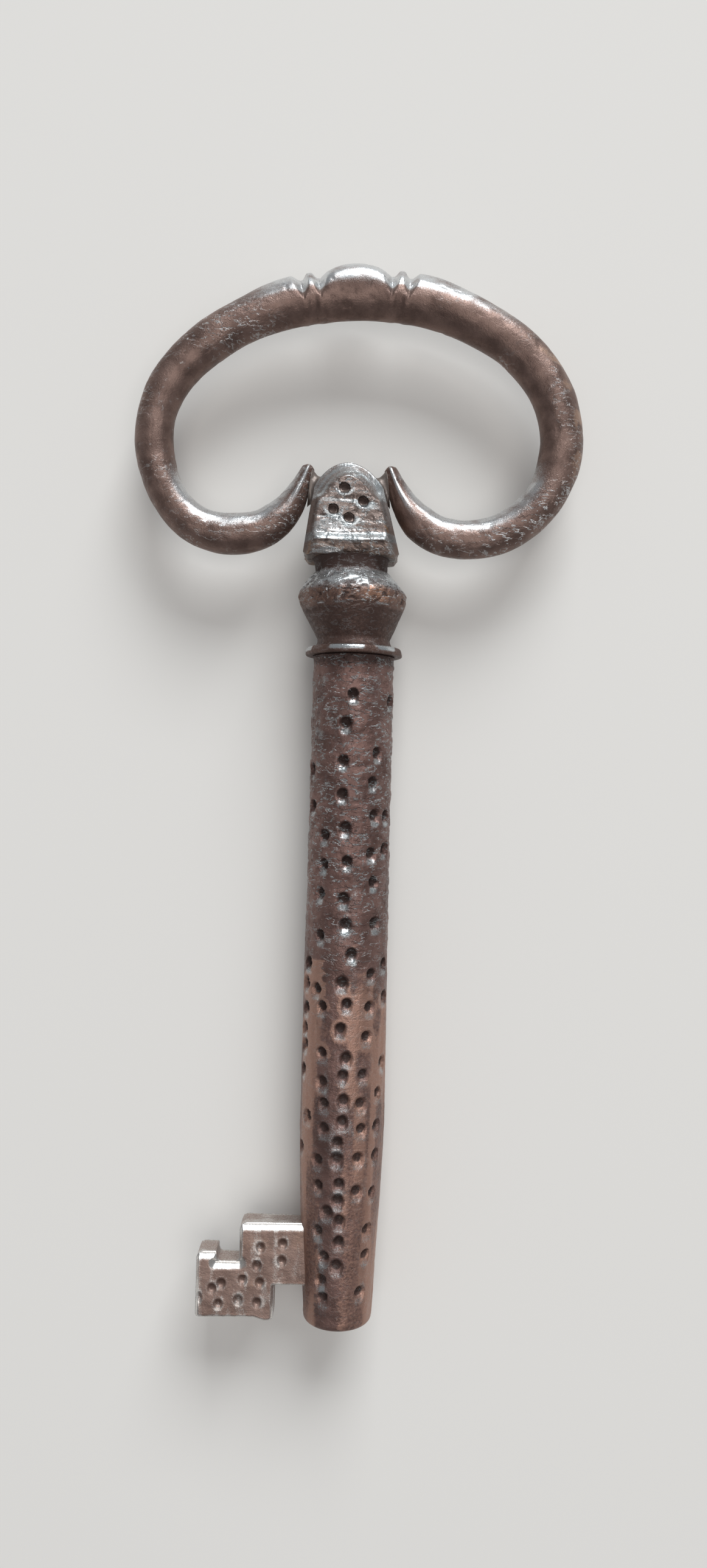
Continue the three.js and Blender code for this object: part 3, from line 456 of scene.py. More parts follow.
def iron(name, dark, body, rubbed, rust, grain_size, roughness, grain_depth, flake_depth=0.0):
    """Old iron: a brown body between darker scale and rust, rubbed grey where it is worn and where a
    highlight is painted.

    The marks of the mesh say where: rubbed on ridges, worn places and painted highlights, scale in the
    hollows and in painted shade, rust in patches, and flaky where thin layers of scale stand in steps."""
    finish = Finish(name)
    shade = tuple((a + b) / 2 for a, b in zip(dark, body))
    broad = finish.grain(grain_size * 9, 6)
    fine = finish.grain(grain_size, 4, roughness=0.6)
    speck = finish.grain(grain_size * 0.45, 2)
    base = finish.mix(finish.between(broad, 0.34, 0.66), shade, body)
    patchy = finish.sum("ADD", finish.mark("rust"), finish.sum("MULTIPLY", fine, 0.7))
    base = finish.mix(finish.between(patchy, 0.5, 0.95), base, rust)
    hollow = finish.sum("ADD", finish.mark("scale"), finish.sum("MULTIPLY", fine, 0.6))
    base = finish.mix(finish.between(hollow, 0.4, 1.0), base, dark)
    rubbed_and_highlit = finish.sum("ADD", finish.mark("rubbed"), finish.sum("MULTIPLY", speck, 0.7))
    rubbed_and_highlit = finish.between(rubbed_and_highlit, 0.45, 1.05)
    smoothed = finish.ramp(finish.between(finish.mark("rubbed"), 0.15, 0.5), 0.9, 0.3)
    layers = [(fine, grain_depth, smoothed), (speck, grain_depth * 0.5, smoothed)]
    if flake_depth:
        steps, riser = finish.steps(finish.grain(1.0, 5, (2.4, 1.1, 2.4), 0.62), 6)
        flaky = finish.mark("flaky")
        layers.insert(0, (finish.sum("MULTIPLY", steps, flaky), flake_depth, 1.0))
        broken = finish.between(finish.grain(0.8, 3, (1.6, 0.8, 1.6)), 0.44, 0.54)
        # Painted glints: the risers of the flake steps are lightened towards the rubbed colour, as
        # highlights on the flake edges.
        lines = finish.sum("MULTIPLY", finish.sum("MULTIPLY", riser, flaky), broken)
        rubbed_and_highlit = finish.sum("MAXIMUM", rubbed_and_highlit, finish.sum("MULTIPLY", lines, 0.65))
    base = finish.mix(rubbed_and_highlit, base, rubbed)
    finish.set("Base Color", base)
    scaly = finish.between(hollow, 0.5, 1.1)
    dulled = finish.sum("MULTIPLY", scaly, 0.45)
    finish.set("Metallic", finish.sum("SUBTRACT", finish.ramp(rubbed_and_highlit, 0.65, 0.9), dulled))
    finish.shader.inputs["Specular IOR Level"].default_value = 0.5
    uneven = finish.ramp(fine, roughness - 0.08, roughness + 0.12)
    uneven = finish.sum("ADD", uneven, finish.sum("MULTIPLY", scaly, 0.3))
    finish.set("Roughness", finish.sum("ADD", finish.sum("MULTIPLY", rubbed_and_highlit, -0.14), uneven))
    finish.relief(*layers)
    return finish.material


PUNCHED_IRON = iron(
    "punched_iron", colour(58, 41, 37), colour(128, 100, 93), colour(188, 196, 198), colour(166, 130, 115),
    0.32, 0.4, 0.07, 0.7,
)
TURNED_IRON = iron(
    "turned_iron", colour(62, 44, 39), colour(118, 94, 85), colour(196, 200, 202), colour(160, 122, 102),
    0.36, 0.38, 0.08, 0.3,
)
FILED_IRON = iron(
    "filed_iron", colour(72, 56, 50), colour(146, 131, 124), colour(202, 208, 210), colour(158, 128, 106),
    0.36, 0.38, 0.08, 0.5,
)
FORGED_IRON = iron(
    "forged_iron", colour(66, 48, 43), colour(132, 109, 100), colour(214, 216, 217), colour(160, 132, 116),
    0.26, 0.38, 0.05, 0.4,
)
BIT_IRON = iron(
    "bit_iron", colour(92, 70, 62), colour(152, 128, 118), colour(218, 215, 211), colour(160, 132, 118),
    0.32, 0.4, 0.045,
)
DULL_BRAZE = iron(
    "dull_braze", colour(84, 74, 69), colour(124, 114, 108), colour(170, 168, 166), colour(134, 118, 102),
    0.5, 0.42, 0.03,
)


def pipe_outside(along):
    """Radius of the pipe's outside: a bulging taper from the mouth, then a slow taper back to the collar."""
    share = np.clip(along / TAPER_LENGTH, 0, 1)
    taper = MOUTH_RADIUS + (PIPE_RADIUS - MOUTH_RADIUS) * share + 2 * TAPER_BULGE * share * (1 - share)
    back = np.clip((along - TAPER_LENGTH) / (PIPE_LENGTH - TAPER_LENGTH), 0, 1)
    return taper + (PIPE_TOP_RADIUS - PIPE_RADIUS) * back


def pipe_profile():
    """Rows of the pipe as (radius, distance from the mouth), from the end of the bore to the spigot's hole.

    A third number is 1 on the outside, where the relief goes."""
    bore = [(0, BORE_DEPTH + DRILL_POINT), (BORE_RADIUS, BORE_DEPTH)]
    bore_wall = [(BORE_RADIUS, along) for along in (52, 40, 28, 16, 8, 4, 2, 1, 0.5, 0.2)]
    lip = [(BORE_RADIUS + 0.15, 0.0), (MOUTH_RADIUS - MOUTH_ROUNDING, 0.0)]
    turn = np.linspace(0, math.pi / 2, 7)[1:]
    rounding = [(MOUTH_RADIUS - MOUTH_ROUNDING * (1 - math.sin(a)), MOUTH_ROUNDING * (1 - math.cos(a)))
                for a in turn]
    along = np.arange(MOUTH_ROUNDING + STEP, PIPE_LENGTH, STEP)
    outside = np.stack([pipe_outside(along), along], axis=-1)
    end = [(PIPE_TOP_RADIUS, PIPE_LENGTH), (SPIGOT_HOLE_RADIUS, PIPE_LENGTH),
           (SPIGOT_HOLE_RADIUS, SPIGOT_START), (0, SPIGOT_START)]
    rows = np.concatenate([bore, bore_wall, lip, rounding, outside, end])
    inner = len(bore) + len(bore_wall) + 2
    skin = np.zeros(len(rows))
    skin[inner:inner + len(rounding) + len(outside)] = 1
    return rows, skin


def pipe_dots():
    """Every dot as (degrees, distance from the mouth): the front columns, then the same round the back."""
    front = [(turn + drift, along) for turn, dots in DOT_COLUMNS for along, drift in dots]
    back = [(turn + 180, along + BACK_SLIDE) for turn, along in front if along > 5]
    return front + back


def punched_pipe():
    """The pipe: its profile turned round the axis, flaky near the collar, streaked near the mouth, dotted.

    Each dot sinks the skin by punch() of the distances round the pipe and along it. The dots are less deep
    towards the mouth, where the pipe is worn."""
    rows, skin = pipe_profile()
    turn = np.linspace(0, 2 * math.pi, ROUND, endpoint=False)
    radius = rows[:, :1] + 0 * turn
    along = rows[:, 1:] + 0 * turn
    across, up = np.sin(turn), np.cos(turn)
    spot = np.stack([radius * across, along, radius * up], axis=-1)
    upper = ease(36, 56, along + 5 * noise(spot, 9, 11))
    flakes = terraces(rough(spot, (2.0, 1.1, 2.0), 21, 5) * 2.2, 0.3) * 0.055
    grit = rough(spot, (0.9, 0.6, 0.9), 41, 3)
    streaks = noise(spot, (1.2, 9, 1.2), 51) * 0.06 + rough(spot, (0.6, 4, 0.6), 61, 2) * 0.035
    flats = np.abs(np.sin(3.5 * turn + 0.04 * along)) * 0.07
    relief = upper * (flakes - 0.08 + grit * 0.05)
    relief += (1 - upper) * (streaks - flats + 0.02 + grit * 0.022)
    hole = np.zeros_like(radius)
    wear_and_highlight = np.zeros_like(radius)
    rim = np.zeros_like(radius)
    dark = np.zeros_like(radius)
    fresh = 0.75 + 0.25 * ease(30, 52, along)
    for number, (degrees, middle) in enumerate(pipe_dots()):
        shift = (turn - math.radians(degrees) + math.pi) % (2 * math.pi) - math.pi
        wobble = 1 + 0.12 * math.sin(2.4 * number)
        beside = shift * radius + 0.06 * grit
        ahead = along - middle - 0.25
        hole = np.maximum(hole, punch(beside, ahead, DOT_RADIUS * wobble, DOT_DEPTH * fresh, DOT_RAMP))
        # Painted highlight, partly wear: the wedge on the mouth side of each dot is lightened through the
        # rubbed mark.
        wear_and_highlight += (2 * fresh - 1) * np.exp(-(beside / 0.66) ** 4 - ((ahead + 1.05) / 0.42) ** 4)
        # Painted shade, partly scale: the bottom of each dot is darkened through the scale mark.
        dark = np.maximum(dark, (1.6 * fresh - 0.6) * ease(0.74, 0.56, np.hypot(beside, ahead - 0.05)))
        rim += np.exp(-((np.hypot(beside, 0.8 * (ahead + 0.3)) - 1.0) / 0.25) ** 2)
    ends = ease(0.2, 1.6, along) * ease(0, 0.8, PIPE_LENGTH - along)
    radius = radius + skin[:, None] * ends * np.minimum(relief - hole, 0.06)
    slot = (along > BIT_CUT_TOP + BIT_TUCK) & (along < BIT_TOP - BIT_TUCK)
    slot = slot & (np.abs(radius * up) < BIT_ROOT_HALF - BIT_TUCK)
    radius = np.where(slot & (across < 0) & (skin[:, None] > 0), BIT_ROOT - 0.05, radius)
    patches = ease(0.0, 0.5, rough(spot, 3.2, 71, 4))
    signed = (turn + math.pi) % (2 * math.pi) - math.pi + 0.12 * grit
    tan = ease(0.3, 0.2, np.abs(signed + 0.8)) * ease(38.2, 38.8, along) * ease(45, 44.4, along)
    trail = ease(0.45, 0.25, np.abs(signed + 0.85)) * ease(26, 32, along) * ease(39.5, 38.5, along)
    trail = trail * ease(-0.1, 0.4, noise(spot, (0.9, 5, 0.9), 75))
    worn = ease(24, 34, along) * ease(56, 44, along)
    ragged = along + 4 * rough(spot, (2.5, 5, 2.5), 85, 3)
    beside_strip = ease(0.24, 0.42, np.abs(signed + 0.26)) * ease(50, 36, ragged)
    rust = 0.9 * tan + 0.4 * trail + worn * (0.45 * np.clip(rim, 0, 1) * patches + 0.15 * patches)
    rust = rust + beside_strip * (0.2 + 0.4 * ease(-0.3, 0.5, noise(spot, (1.1, 8, 1.1), 77)))
    rust = rust + 0.15 * ease(30, 10, along)
    rubbed = 0.2 * ease(0.3, 0.9, grit) * upper + 0.47 * np.clip(wear_and_highlight, 0, 1)
    rubbed = rubbed + 0.15 * ease(0.3, 0.8, noise(spot, (1, 6, 1), 81))
    rubbed = rubbed + 0.14 * np.clip(rim, 0, 1) * (1 - upper)
    # Painted shadow: the pipe is darkened just under the collar through the scale mark.
    shaded = ease(PIPE_LENGTH - 2.5, PIPE_LENGTH - 0.5, along)
    marks = {"rubbed": rubbed * skin[:, None], "rust": rust, "scale": dark + 0.5 * shaded,
             "flaky": (0.12 + 0.88 * upper) * skin[:, None]}
    points = key_points(radius * across, along, radius * up)
    piece("punched_pipe", points, PUNCHED_IRON, "pipe_shank", marks)


def lean(along):
    """How far the head stands to the left of the pipe's axis at a distance from the mouth."""
    return -HEAD_LEAN * np.maximum(0, along - NECK_START)


def turned(name, profile, outside, node, relief):
    """Turns a profile of (radius, distance from the mouth) round the leaning axis, with relief outside."""
    turn = np.linspace(0, 2 * math.pi, ROUND, endpoint=False)
    radius = profile[:, :1] + 0 * turn
    along = profile[:, 1:] + 0 * turn
    spot = np.stack([radius * np.sin(turn), along, radius * np.cos(turn)], axis=-1)
    height, marks = relief(spot, radius, along, turn)
    radius = radius + outside[:, None] * np.minimum(height, 0)
    points = key_points(radius * np.sin(turn) + lean(along), along, radius * np.cos(turn))
    piece(name, points, TURNED_IRON, node, marks)


def collar_relief(spot, radius, along, turn):
    """Shallow dents round the ring, rubbed on its upper edge, where the rubbed mark is partly wear and
    partly a painted highlight.
    """
    height = 0.05 * rough(spot, 2.2, 101, 3) - 0.05
    edge = ease(0.4, 0.2, np.abs(along - NECK_START + 0.28)) * ease(5.3, 5.7, radius)
    edge = edge * ease(-0.5, 0.1, noise(spot, (2, 9, 2), 105))
    return height, {"rubbed": 0.9 * edge, "rust": 0.2 + 0 * radius, "scale": 0.4 * (1 - edge), "flaky": 0.2}


def collar():
    """The thin ring between the pipe and the neck."""
    outer, flat = COLLAR_RADIUS, COLLAR_RADIUS - COLLAR_ROUNDING
    low, high = PIPE_LENGTH, NECK_START
    bottom = quadratic((flat, low), (outer, low), (outer, low + COLLAR_ROUNDING), 4)
    top = quadratic((outer, high - COLLAR_WEAR), (outer, high), (flat - 0.2, high), 9)
    start = [(SPIGOT_HOLE_RADIUS, low), (COLLAR_FACE_RADIUS, low), (flat, low)]
    end = [(COLLAR_FACE_RADIUS, high), (SPIGOT_HOLE_RADIUS, high), (SPIGOT_HOLE_RADIUS, low)]
    side = [(outer, high - COLLAR_WEAR)]
    profile = np.concatenate([start, bottom, side, top, end])
    outside = (profile[:, 0] > 5).astype(float)
    turned("thin_collar", profile, outside, "collar_ring", collar_relief)


def neck_relief(spot, radius, along, turn):
    """Pits, crinkles and a broken gouge over the bead, a brown patch, and turning lines in the cup."""
    rise = along - NECK_START
    edge = BEAD_RISE - BEAD_CUP_DROP
    dome = ease(edge - 0.25, edge + 0.35, rise) * ease(BEAD_RISE + 3.4, BEAD_RISE + 2.2, rise)
    pits = ease(0.1, 0.55, rough(spot, (0.8, 0.5, 0.8), 111, 4))
    crinkles = terraces(rough(spot, (1.5, 0.8, 1.5), 151, 4) * 2.4, 0.4) * 0.05
    dents = rough(spot, (3.5, 1.6, 3.5), 121, 2)
    gouge = np.exp(-((rise - BEAD_RISE - 1.3 - 0.5 * np.sin(2 * turn)) / 0.16) ** 2)
    gouge = gouge * ease(0.1, 0.5, noise(spot, 3, 131))
    lines = noise(spot, (9, 0.35, 9), 141)
    height = dome * (-0.15 * pits + 0.05 * dents + crinkles - 0.08 - 0.14 * gouge)
    height = height + (1 - dome) * (0.02 * lines - 0.04 + 0.03 * dents)
    arris = np.exp(-((rise - edge) / 0.14) ** 2) * ease(-0.1, 0.3, noise(spot, (1.3, 4, 1.3), 161))
    # Wear and painted highlight: the top of the dome, towards the block, is lightened through the rubbed
    # mark.
    top = ease(BEAD_RISE - 0.2, BEAD_RISE + 1.2, rise)
    copper = np.exp(-((turn - 0.52) / 0.22) ** 2 - ((rise - BEAD_RISE + 0.2) / 0.9) ** 2)
    copper = copper * ease(-0.5, 0.2, rough(spot, 0.9, 171, 3))
    # Painted shade: the cove under the block is darkened through the scale mark. The cup under the bead is
    # darker as well.
    cove = ease(BEAD_RISE + 2.2, BEAD_RISE + 3.2, rise)
    cup = ease(edge, edge - 0.5, rise)
    rubbed = 0.55 * top * (1 - 0.7 * pits) * (1 - cove) + 0.4 * arris + 0.1 * dome
    scale = 0.55 * pits * dome + 0.45 * cup + 0.8 * cove
    rust = 1.1 * copper + 0.25 * dome * (1 - top)
    return height, {"rubbed": rubbed, "rust": rust, "scale": scale, "flaky": 0.2 + 0.8 * dome}


def neck():
    """The turned neck: a cup under a bead under a cove, with its hidden spigot and tenon."""
    waist = (NECK_WAIST_RADIUS, NECK_START + NECK_WAIST_RISE)
    bead = (BEAD_RADIUS, NECK_START + BEAD_RISE)
    cup_edge = (BEAD_RADIUS - BEAD_CUP_INSET, bead[1] - BEAD_CUP_DROP)
    cup_middle = ((waist[0] + cup_edge[0]) / 2, (waist[1] + cup_edge[1]) / 2)
    cove = (COVE_RADIUS, bead[1] + BEAD_DOME_RISE)
    start = [(0, SPIGOT_START), (SPIGOT_RADIUS, SPIGOT_START), (SPIGOT_RADIUS, NECK_START),
             (NECK_FOOT_RADIUS, NECK_START)]
    stretches = [
        start,
        quadratic(start[-1], (NECK_WAIST_RADIUS, NECK_START + NECK_SCOOP), waist, 7),
        quadratic(waist, cup_middle, cup_edge, 26),
        quadratic(cup_edge, (BEAD_RADIUS, (cup_edge[1] + bead[1]) / 2), bead, 12),
        quadratic(bead, (BEAD_RADIUS - BEAD_DOME_INSET, bead[1] + BEAD_DOME_RISE / 3), cove, 26),
        quadratic(cove, (COVE_RADIUS, BLOCK_START - NECK_SCOOP), (NECK_TOP_RADIUS, BLOCK_START), 12),
        [(TENON_RADIUS, BLOCK_START), (TENON_RADIUS, TENON_END), (0, TENON_END)],
    ]
    profile = np.concatenate(stretches)
    outside = np.ones(len(profile))
    outside[:3] = 0
    outside[-3:] = 0
    turned("turned_neck", profile, outside, "neck_baluster", neck_relief)


def block_outline():
    """The block's outline as (across, rise) points, once round from the middle of its foot."""
    base, mid, shoulder = BLOCK_BASE_HALF, BLOCK_MID_HALF, BLOCK_SHOULDER_HALF
    top = BLOCK_HEIGHT
    hip = BLOCK_SHOULDER_RISE + (top - BLOCK_SHOULDER_RISE) * ARCH_FULLNESS
    side = [(0, 0), (base - BLOCK_CORNER, 0), (base, BLOCK_CORNER), (mid, BLOCK_MID_RISE),
            (shoulder, BLOCK_SHOULDER_RISE)]
    t = np.linspace(0, 1, 60)[1:]
    arch = cubic(side[-1], (shoulder - ARCH_LEAN_IN, hip), (shoulder * ARCH_FULLNESS, top), (0, top), t)
    right = even(np.concatenate([side, arch]), OUTLINE_STEP)
    left = right[::-1][1:-1] * (-1, 1)
    return np.concatenate([right, left])


def distance_to(points, line):
    """Least distance of each point to a broken line, over all its stretches at once."""
    least = np.full(points.shape[:-1], 1e9)
    for here, there in zip(line[:-1], line[1:]):
        span = there - here
        share = np.clip(((points - here) @ span) / (span @ span), 0, 1)
        least = np.minimum(least, np.linalg.norm(points - here - share[..., None] * span, axis=-1))
    return least


def soft_least(first, second, width):
    """The lesser of two heights, rounded where they cross.

    It is half of their sum, less half the root of the squared gap plus the squared width."""
    return (first + second - np.sqrt((first - second) ** 2 + width ** 2)) / 2


def over_wall(front, wall, back):
    """Rows from the middle of the front out to its edge, over the wall, and in to the middle of the back."""
    return np.concatenate([front[::-1], wall, back])


def block_depth(rise):
    """Half thickness of the block at a rise: a rounded lip, the foot's ridge, then the sloping panel."""
    at = [0, 0.25, 0.7, 1.4, RIDGE_RISE, RIDGE_RISE + 0.35, RIDGE_RISE + 0.9, FLARE_RISE, BLOCK_HEIGHT + 1]
    depth = [LIP_HALF, LIP_HALF + 0.3, LIP_HALF + 0.52, LIP_HALF + 0.72, RIDGE_HALF_DEPTH,
             RIDGE_HALF_DEPTH - 0.18, PANEL_HALF + 0.12, PANEL_HALF, PANEL_TOP_HALF]
    return np.interp(rise, at, depth)


def filed_block():
    """The block: its outline shrunk to its middle, with the lesser of the panel's and the bevels' depth.

    The front and the back are the same formula with the sign of the depth turned."""
    outline = block_outline()
    middle = np.array([0, BLOCK_MIDDLE_RISE])
    shrink = np.concatenate([np.linspace(1, 0.38, 34), np.linspace(0.38, 0, 22)[1:]])
    flat = middle + (outline - middle) * shrink[:, None, None]
    rise = flat[..., 1]
    side_line = [(BLOCK_BASE_HALF, BLOCK_CORNER), (BLOCK_MID_HALF, BLOCK_MID_RISE),
                 (BLOCK_SHOULDER_HALF, BLOCK_SHOULDER_RISE)]
    arch = outline[(outline[:, 1] >= BLOCK_SHOULDER_RISE) & (outline[:, 0] >= 0)]
    mirrored = np.abs(flat)
    to_side = distance_to(mirrored, np.array(side_line))
    to_arch = distance_to(mirrored, arch[::2])
    edge = [BLOCK_EDGE_HALF, PANEL_TOP_HALF, RIDGE_HALF_DEPTH + 1]
    side_rise = np.interp(to_side, [0, SIDE_BEVEL, SIDE_BEVEL * SIDE_FLARE], edge)
    arch_rise = np.interp(to_arch, [0, ARCH_BEVEL, ARCH_BEVEL * ARCH_FLARE], edge)
    depth = soft_least(block_depth(rise), soft_least(side_rise, arch_rise, 0.12), 0.14)
    rings = []
    marks = {"rubbed": [], "rust": [], "scale": [], "flaky": []}
    for face in (1, -1):
        spot = np.stack([flat[..., 0], rise, face * depth], axis=-1)
        flat_part = ease(0.4, 0.9, to_side) * ease(1.0, 1.9, to_arch)
        ripple = noise(spot, (1.8, 0.45, 2), 201 + face) * 0.07 + rough(spot, 0.9, 211 + face, 3) * 0.07
        pits = ease(0.25, 0.7, rough(spot, 0.75, 221 + face, 3))
        streak = ease(-0.1, 0.7, rough(spot, (2.6, 0.5, 2), 251 + face, 3))
        hole = np.zeros_like(depth)
        rim = np.zeros_like(depth)
        for dot in BLOCK_DOTS:
            beside = BLOCK_DOT_OVAL * (flat[..., 0] - dot[0] + 1.2 * ripple)
            ahead = rise - dot[1] - 0.1
            hole = np.maximum(hole, punch(beside, ahead, *BLOCK_DOT))
            # Wear and painted highlight: each rim is weighted to the side of its dot towards the foot, where
            # the rubbed mark lightens it.
            rim += np.exp(-((np.hypot(beside, ahead) - 0.88) / 0.27) ** 2) * ease(0.5, -0.5, ahead)
        height = depth - hole - 0.05 + 0.06 * np.clip(rim, 0, 1)
        height = height + ripple * (0.3 + 0.7 * flat_part) - 0.1 * pits * (0.15 + 0.85 * flat_part)
        edge_keep = ease(1.0, 0.97, shrink)[:, None]
        height = depth + (height - depth) * edge_keep
        ring = key_points(flat[..., 0] + lean(BLOCK_START + rise), BLOCK_START + rise, face * height)
        # Wear and painted highlights through the rubbed mark: the flare above the ridge, the arch's bevel,
        # and the right side's bevel only.
        ridge_band_wear_and_highlight = ease(0.75, 0.3, np.abs(rise - RIDGE_RISE - 0.55))
        arch_wear_and_highlight = ease(ARCH_BEVEL + 0.2, ARCH_BEVEL - 0.5, to_arch)
        arcs = noise(np.stack([to_arch, 0.2 * flat[..., 0] + 0 * rise, 0 * rise], axis=-1), 0.35, 261 + face)
        right_bevel_wear_and_highlight = ease(1.3, 0.6, to_side) * ease(0.5, 1.5, flat[..., 0]) * ease(2.5, 4.5, rise)
        tan = ease(0.2, 0.7, rough(spot, 1.4, 231, 3)) * ease(1.7, 0.8, to_side) * flat_part
        worn = 0.5 * ridge_band_wear_and_highlight + (0.44 + 0.25 * arcs) * arch_wear_and_highlight + 0.5 * np.clip(rim, 0, 1) + 0.3 * right_bevel_wear_and_highlight
        marks["rubbed"].append((worn + 0.4 * streak * flat_part) * ease(0.3, 0.1, hole))
        marks["rust"].append(0.8 * tan + 0.25 * ease(RIDGE_RISE + 0.2, RIDGE_RISE - 0.3, rise))
        # Partly scale, partly painted shade: the dots' bottoms are darkened.
        marks["scale"].append(0.7 * ease(0.25, 0.4, hole) + 0.4 * pits * flat_part)
        marks["flaky"].append((0.15 + 0.85 * flat_part) * ease(0.2, 0.05, hole))
        rings.append(ring)
    wall = np.linspace(1, -1, 18)[1:-1]
    wall_spot = np.stack([outline[:, 0] + 0 * wall[:, None], outline[:, 1] + 0 * wall[:, None],
                          BLOCK_EDGE_HALF * wall[:, None] + 0 * outline[:, 0]], axis=-1)
    wall_up = wall[:, None] * depth[0]
    drawn_in = 1 - 0.01 * (rough(wall_spot, 1.2, 241, 3) + 1) * (outline[:, 1] > 0.01)
    wall_across = outline[:, 0] * drawn_in
    wall_rise = outline[:, 1] + 0 * wall[:, None]
    side = key_points(wall_across + lean(BLOCK_START + wall_rise), BLOCK_START + wall_rise, wall_up)
    blotch = rough(wall_spot, 1.8, 271, 4)
    walls = {"rubbed": 0.1 + 0.25 * ease(0.2, 0.8, blotch), "rust": 0.2 + 0.3 * ease(0, -0.7, blotch),
             "scale": 0.3 + 0.2 * blotch, "flaky": 0.6 + 0 * blotch}
    joined = {name: over_wall(front, walls[name], back) for name, (front, back) in marks.items()}
    points = over_wall(rings[0], side, rings[1])
    piece("filed_block", points, FILED_IRON, "head_block", joined)


def bow_stretches():
    """The bar's centre line as cubic stretches, from the left leaf over the crown to the right leaf.

    Each stretch is four places and the half thickness at its start, middle and end."""
    middle = lean(BLOCK_START + BLOCK_SHOULDER_RISE)
    tip = BLOCK_SHOULDER_HALF + LEAF_TIP_SPREAD
    out = np.array([math.cos(LEAF_TIP_TURN), math.sin(LEAF_TIP_TURN)])
    stretches = []
    for side, reach, number in ((-1, BOW_LEFT_REACH, 0), (1, BOW_RIGHT_REACH, 1)):
        leaf = np.array([middle + side * tip, LEAF_TIP_RISE])
        lobe = np.array([middle + side * LOBE_REACH, LOBE_RISE])
        waist = np.array([middle + side * reach, BOW_WAIST_RISE])
        crown = np.array([middle, BOW_CROWN_RISE])
        lobe_side = np.array([side, 0])
        rise = np.array([0, 1])
        leaf_run = leaf + LEAF_HANDLE * out * (side, -1)
        drop = BOW_WAIST_RISE - LOBE_RISE
        climb = BOW_CROWN_RISE - BOW_WAIST_RISE
        low = (leaf, leaf_run, lobe - LOBE_HANDLE * lobe_side, lobe)
        full = LOBE_FULLNESS[number]
        turn = (lobe, lobe + full * (reach - LOBE_REACH) * lobe_side, waist - full * drop * rise, waist)
        tilt = np.array([math.cos(CROWN_TILT), math.sin(CROWN_TILT)])
        over = (waist, waist + SIDE_FULLNESS[number] * climb * rise,
                crown + side * CROWN_FULLNESS[number] * reach * tilt, crown)
        halves = (
            (LEAF_TIP_HALF, ARM_HALF, LOBE_HALF[number]),
            (LOBE_HALF[number], TURN_HALF[number], SIDE_HALF[number]),
            (SIDE_HALF[number], SHOULDER_HALF[number], CROWN_HALF),
        )
        half_way = list(zip((low, turn, over), halves))
        if side == 1:
            half_way = [(places[::-1], sizes[::-1]) for places, sizes in reversed(half_way)]
        stretches.extend(half_way)
    return stretches


def bow_path():
    """Points along the bar's centre line, closer on the crest and at the tips, with their headings,
    half thicknesses and distances from the crown and from the nearer leaf tip."""
    fine = np.linspace(0, 1, 800)
    places, halves = [], []
    for (a, b, c, d), sizes in bow_stretches():
        line = cubic(a, b, c, d, fine)
        run = np.concatenate([[0], np.cumsum(np.linalg.norm(np.diff(line, axis=0), axis=1))])
        share = run / run[-1]
        first = sizes[0] + (sizes[1] - sizes[0]) * ease(0, 0.5, share)
        second = sizes[1] + (sizes[2] - sizes[1]) * ease(0.5, 1, share)
        half = np.where(share < 0.5, first, second)
        if LEAF_TIP_HALF in sizes:
            from_leaf = run if sizes[0] == LEAF_TIP_HALF else run[-1] - run
            other = sizes[2] if sizes[0] == LEAF_TIP_HALF else sizes[0]
            horn = np.clip(from_leaf / LEAF_LENGTH, 0, 1) ** 0.8
            body = ARM_HALF + (other - ARM_HALF) * ease(LEAF_LENGTH, run[-1], from_leaf)
            half = LEAF_TIP_HALF + (body - LEAF_TIP_HALF) * horn
        places.append(line[:-1])
        halves.append(half[:-1])
    places = np.concatenate([*places, [d]])
    halves = np.concatenate([*halves, [LEAF_TIP_HALF]])
    run = np.concatenate([[0], np.cumsum(np.linalg.norm(np.diff(places, axis=0), axis=1))])
    crown_at = run[np.argmin(np.linalg.norm(places - bow_stretches()[2][0][3], axis=1))]
    on_crest = np.abs(run - crown_at) < SHOULDER_AT + 1
    at_tips = np.minimum(run, run[-1] - run) < 3
    density = 1 / BAR_STEP + (1 / CREST_STEP - 1 / BAR_STEP) * on_crest
    density = density + (1 / TIP_STEP - 1 / BAR_STEP) * at_tips
    count = np.concatenate([[0], np.cumsum((density[1:] + density[:-1]) / 2 * np.diff(run))])
    even_count = np.linspace(0, count[-1], int(count[-1]) + 1)
    at = np.interp(even_count, count, run)
    line = np.stack([np.interp(at, run, places[:, axis]) for axis in (0, 1)], axis=-1)
    heading = np.gradient(line, axis=0)
    heading = heading / np.linalg.norm(heading, axis=1)[:, None]
    return line, heading, np.interp(at, run, halves), at - crown_at, np.minimum(at, run[-1] - at)


def crest(distance):
    """The lift of the bar's outside, the share of the filed slope, and half widths off the nearest notch.

    The bead's lift is one less the squared share of its half length, to BEAD_POWER. Each rib is a narrow
    ridge between two notches, and the shoulders and the filed slope fade out along the bar."""
    along = np.abs(distance - CREST_SHIFT)
    bead = np.maximum(0, 1 - (along / BEAD_HALF_LENGTH) ** 2) ** BEAD_POWER
    shoulder = ease(SHOULDER_AT + SHOULDER_FADE, SHOULDER_AT, along)
    shoulder = shoulder * ease(SHOULDER_AT - SHOULDER_RAMP, SHOULDER_AT, along)
    rib = ease(RIB_HALF_LENGTH, 0.2, np.abs(along - RIB_AT))
    scoop = ease(BEAD_HALF_LENGTH - 0.9, BEAD_HALF_LENGTH + 0.2, along)
    scoop = scoop * ease(SHOULDER_AT + SHOULDER_FADE, SHOULDER_AT + 1, along)
    lift = BEAD_LIFT * bead + RIB_LIFT * rib + SHOULDER_LIFT * shoulder + SCOOP_LIFT * scoop
    to_notch = np.minimum(np.abs(along - INNER_NOTCH_AT), np.abs(along - OUTER_NOTCH_AT))
    return lift, scoop, to_notch / NOTCH_HALF_LENGTH


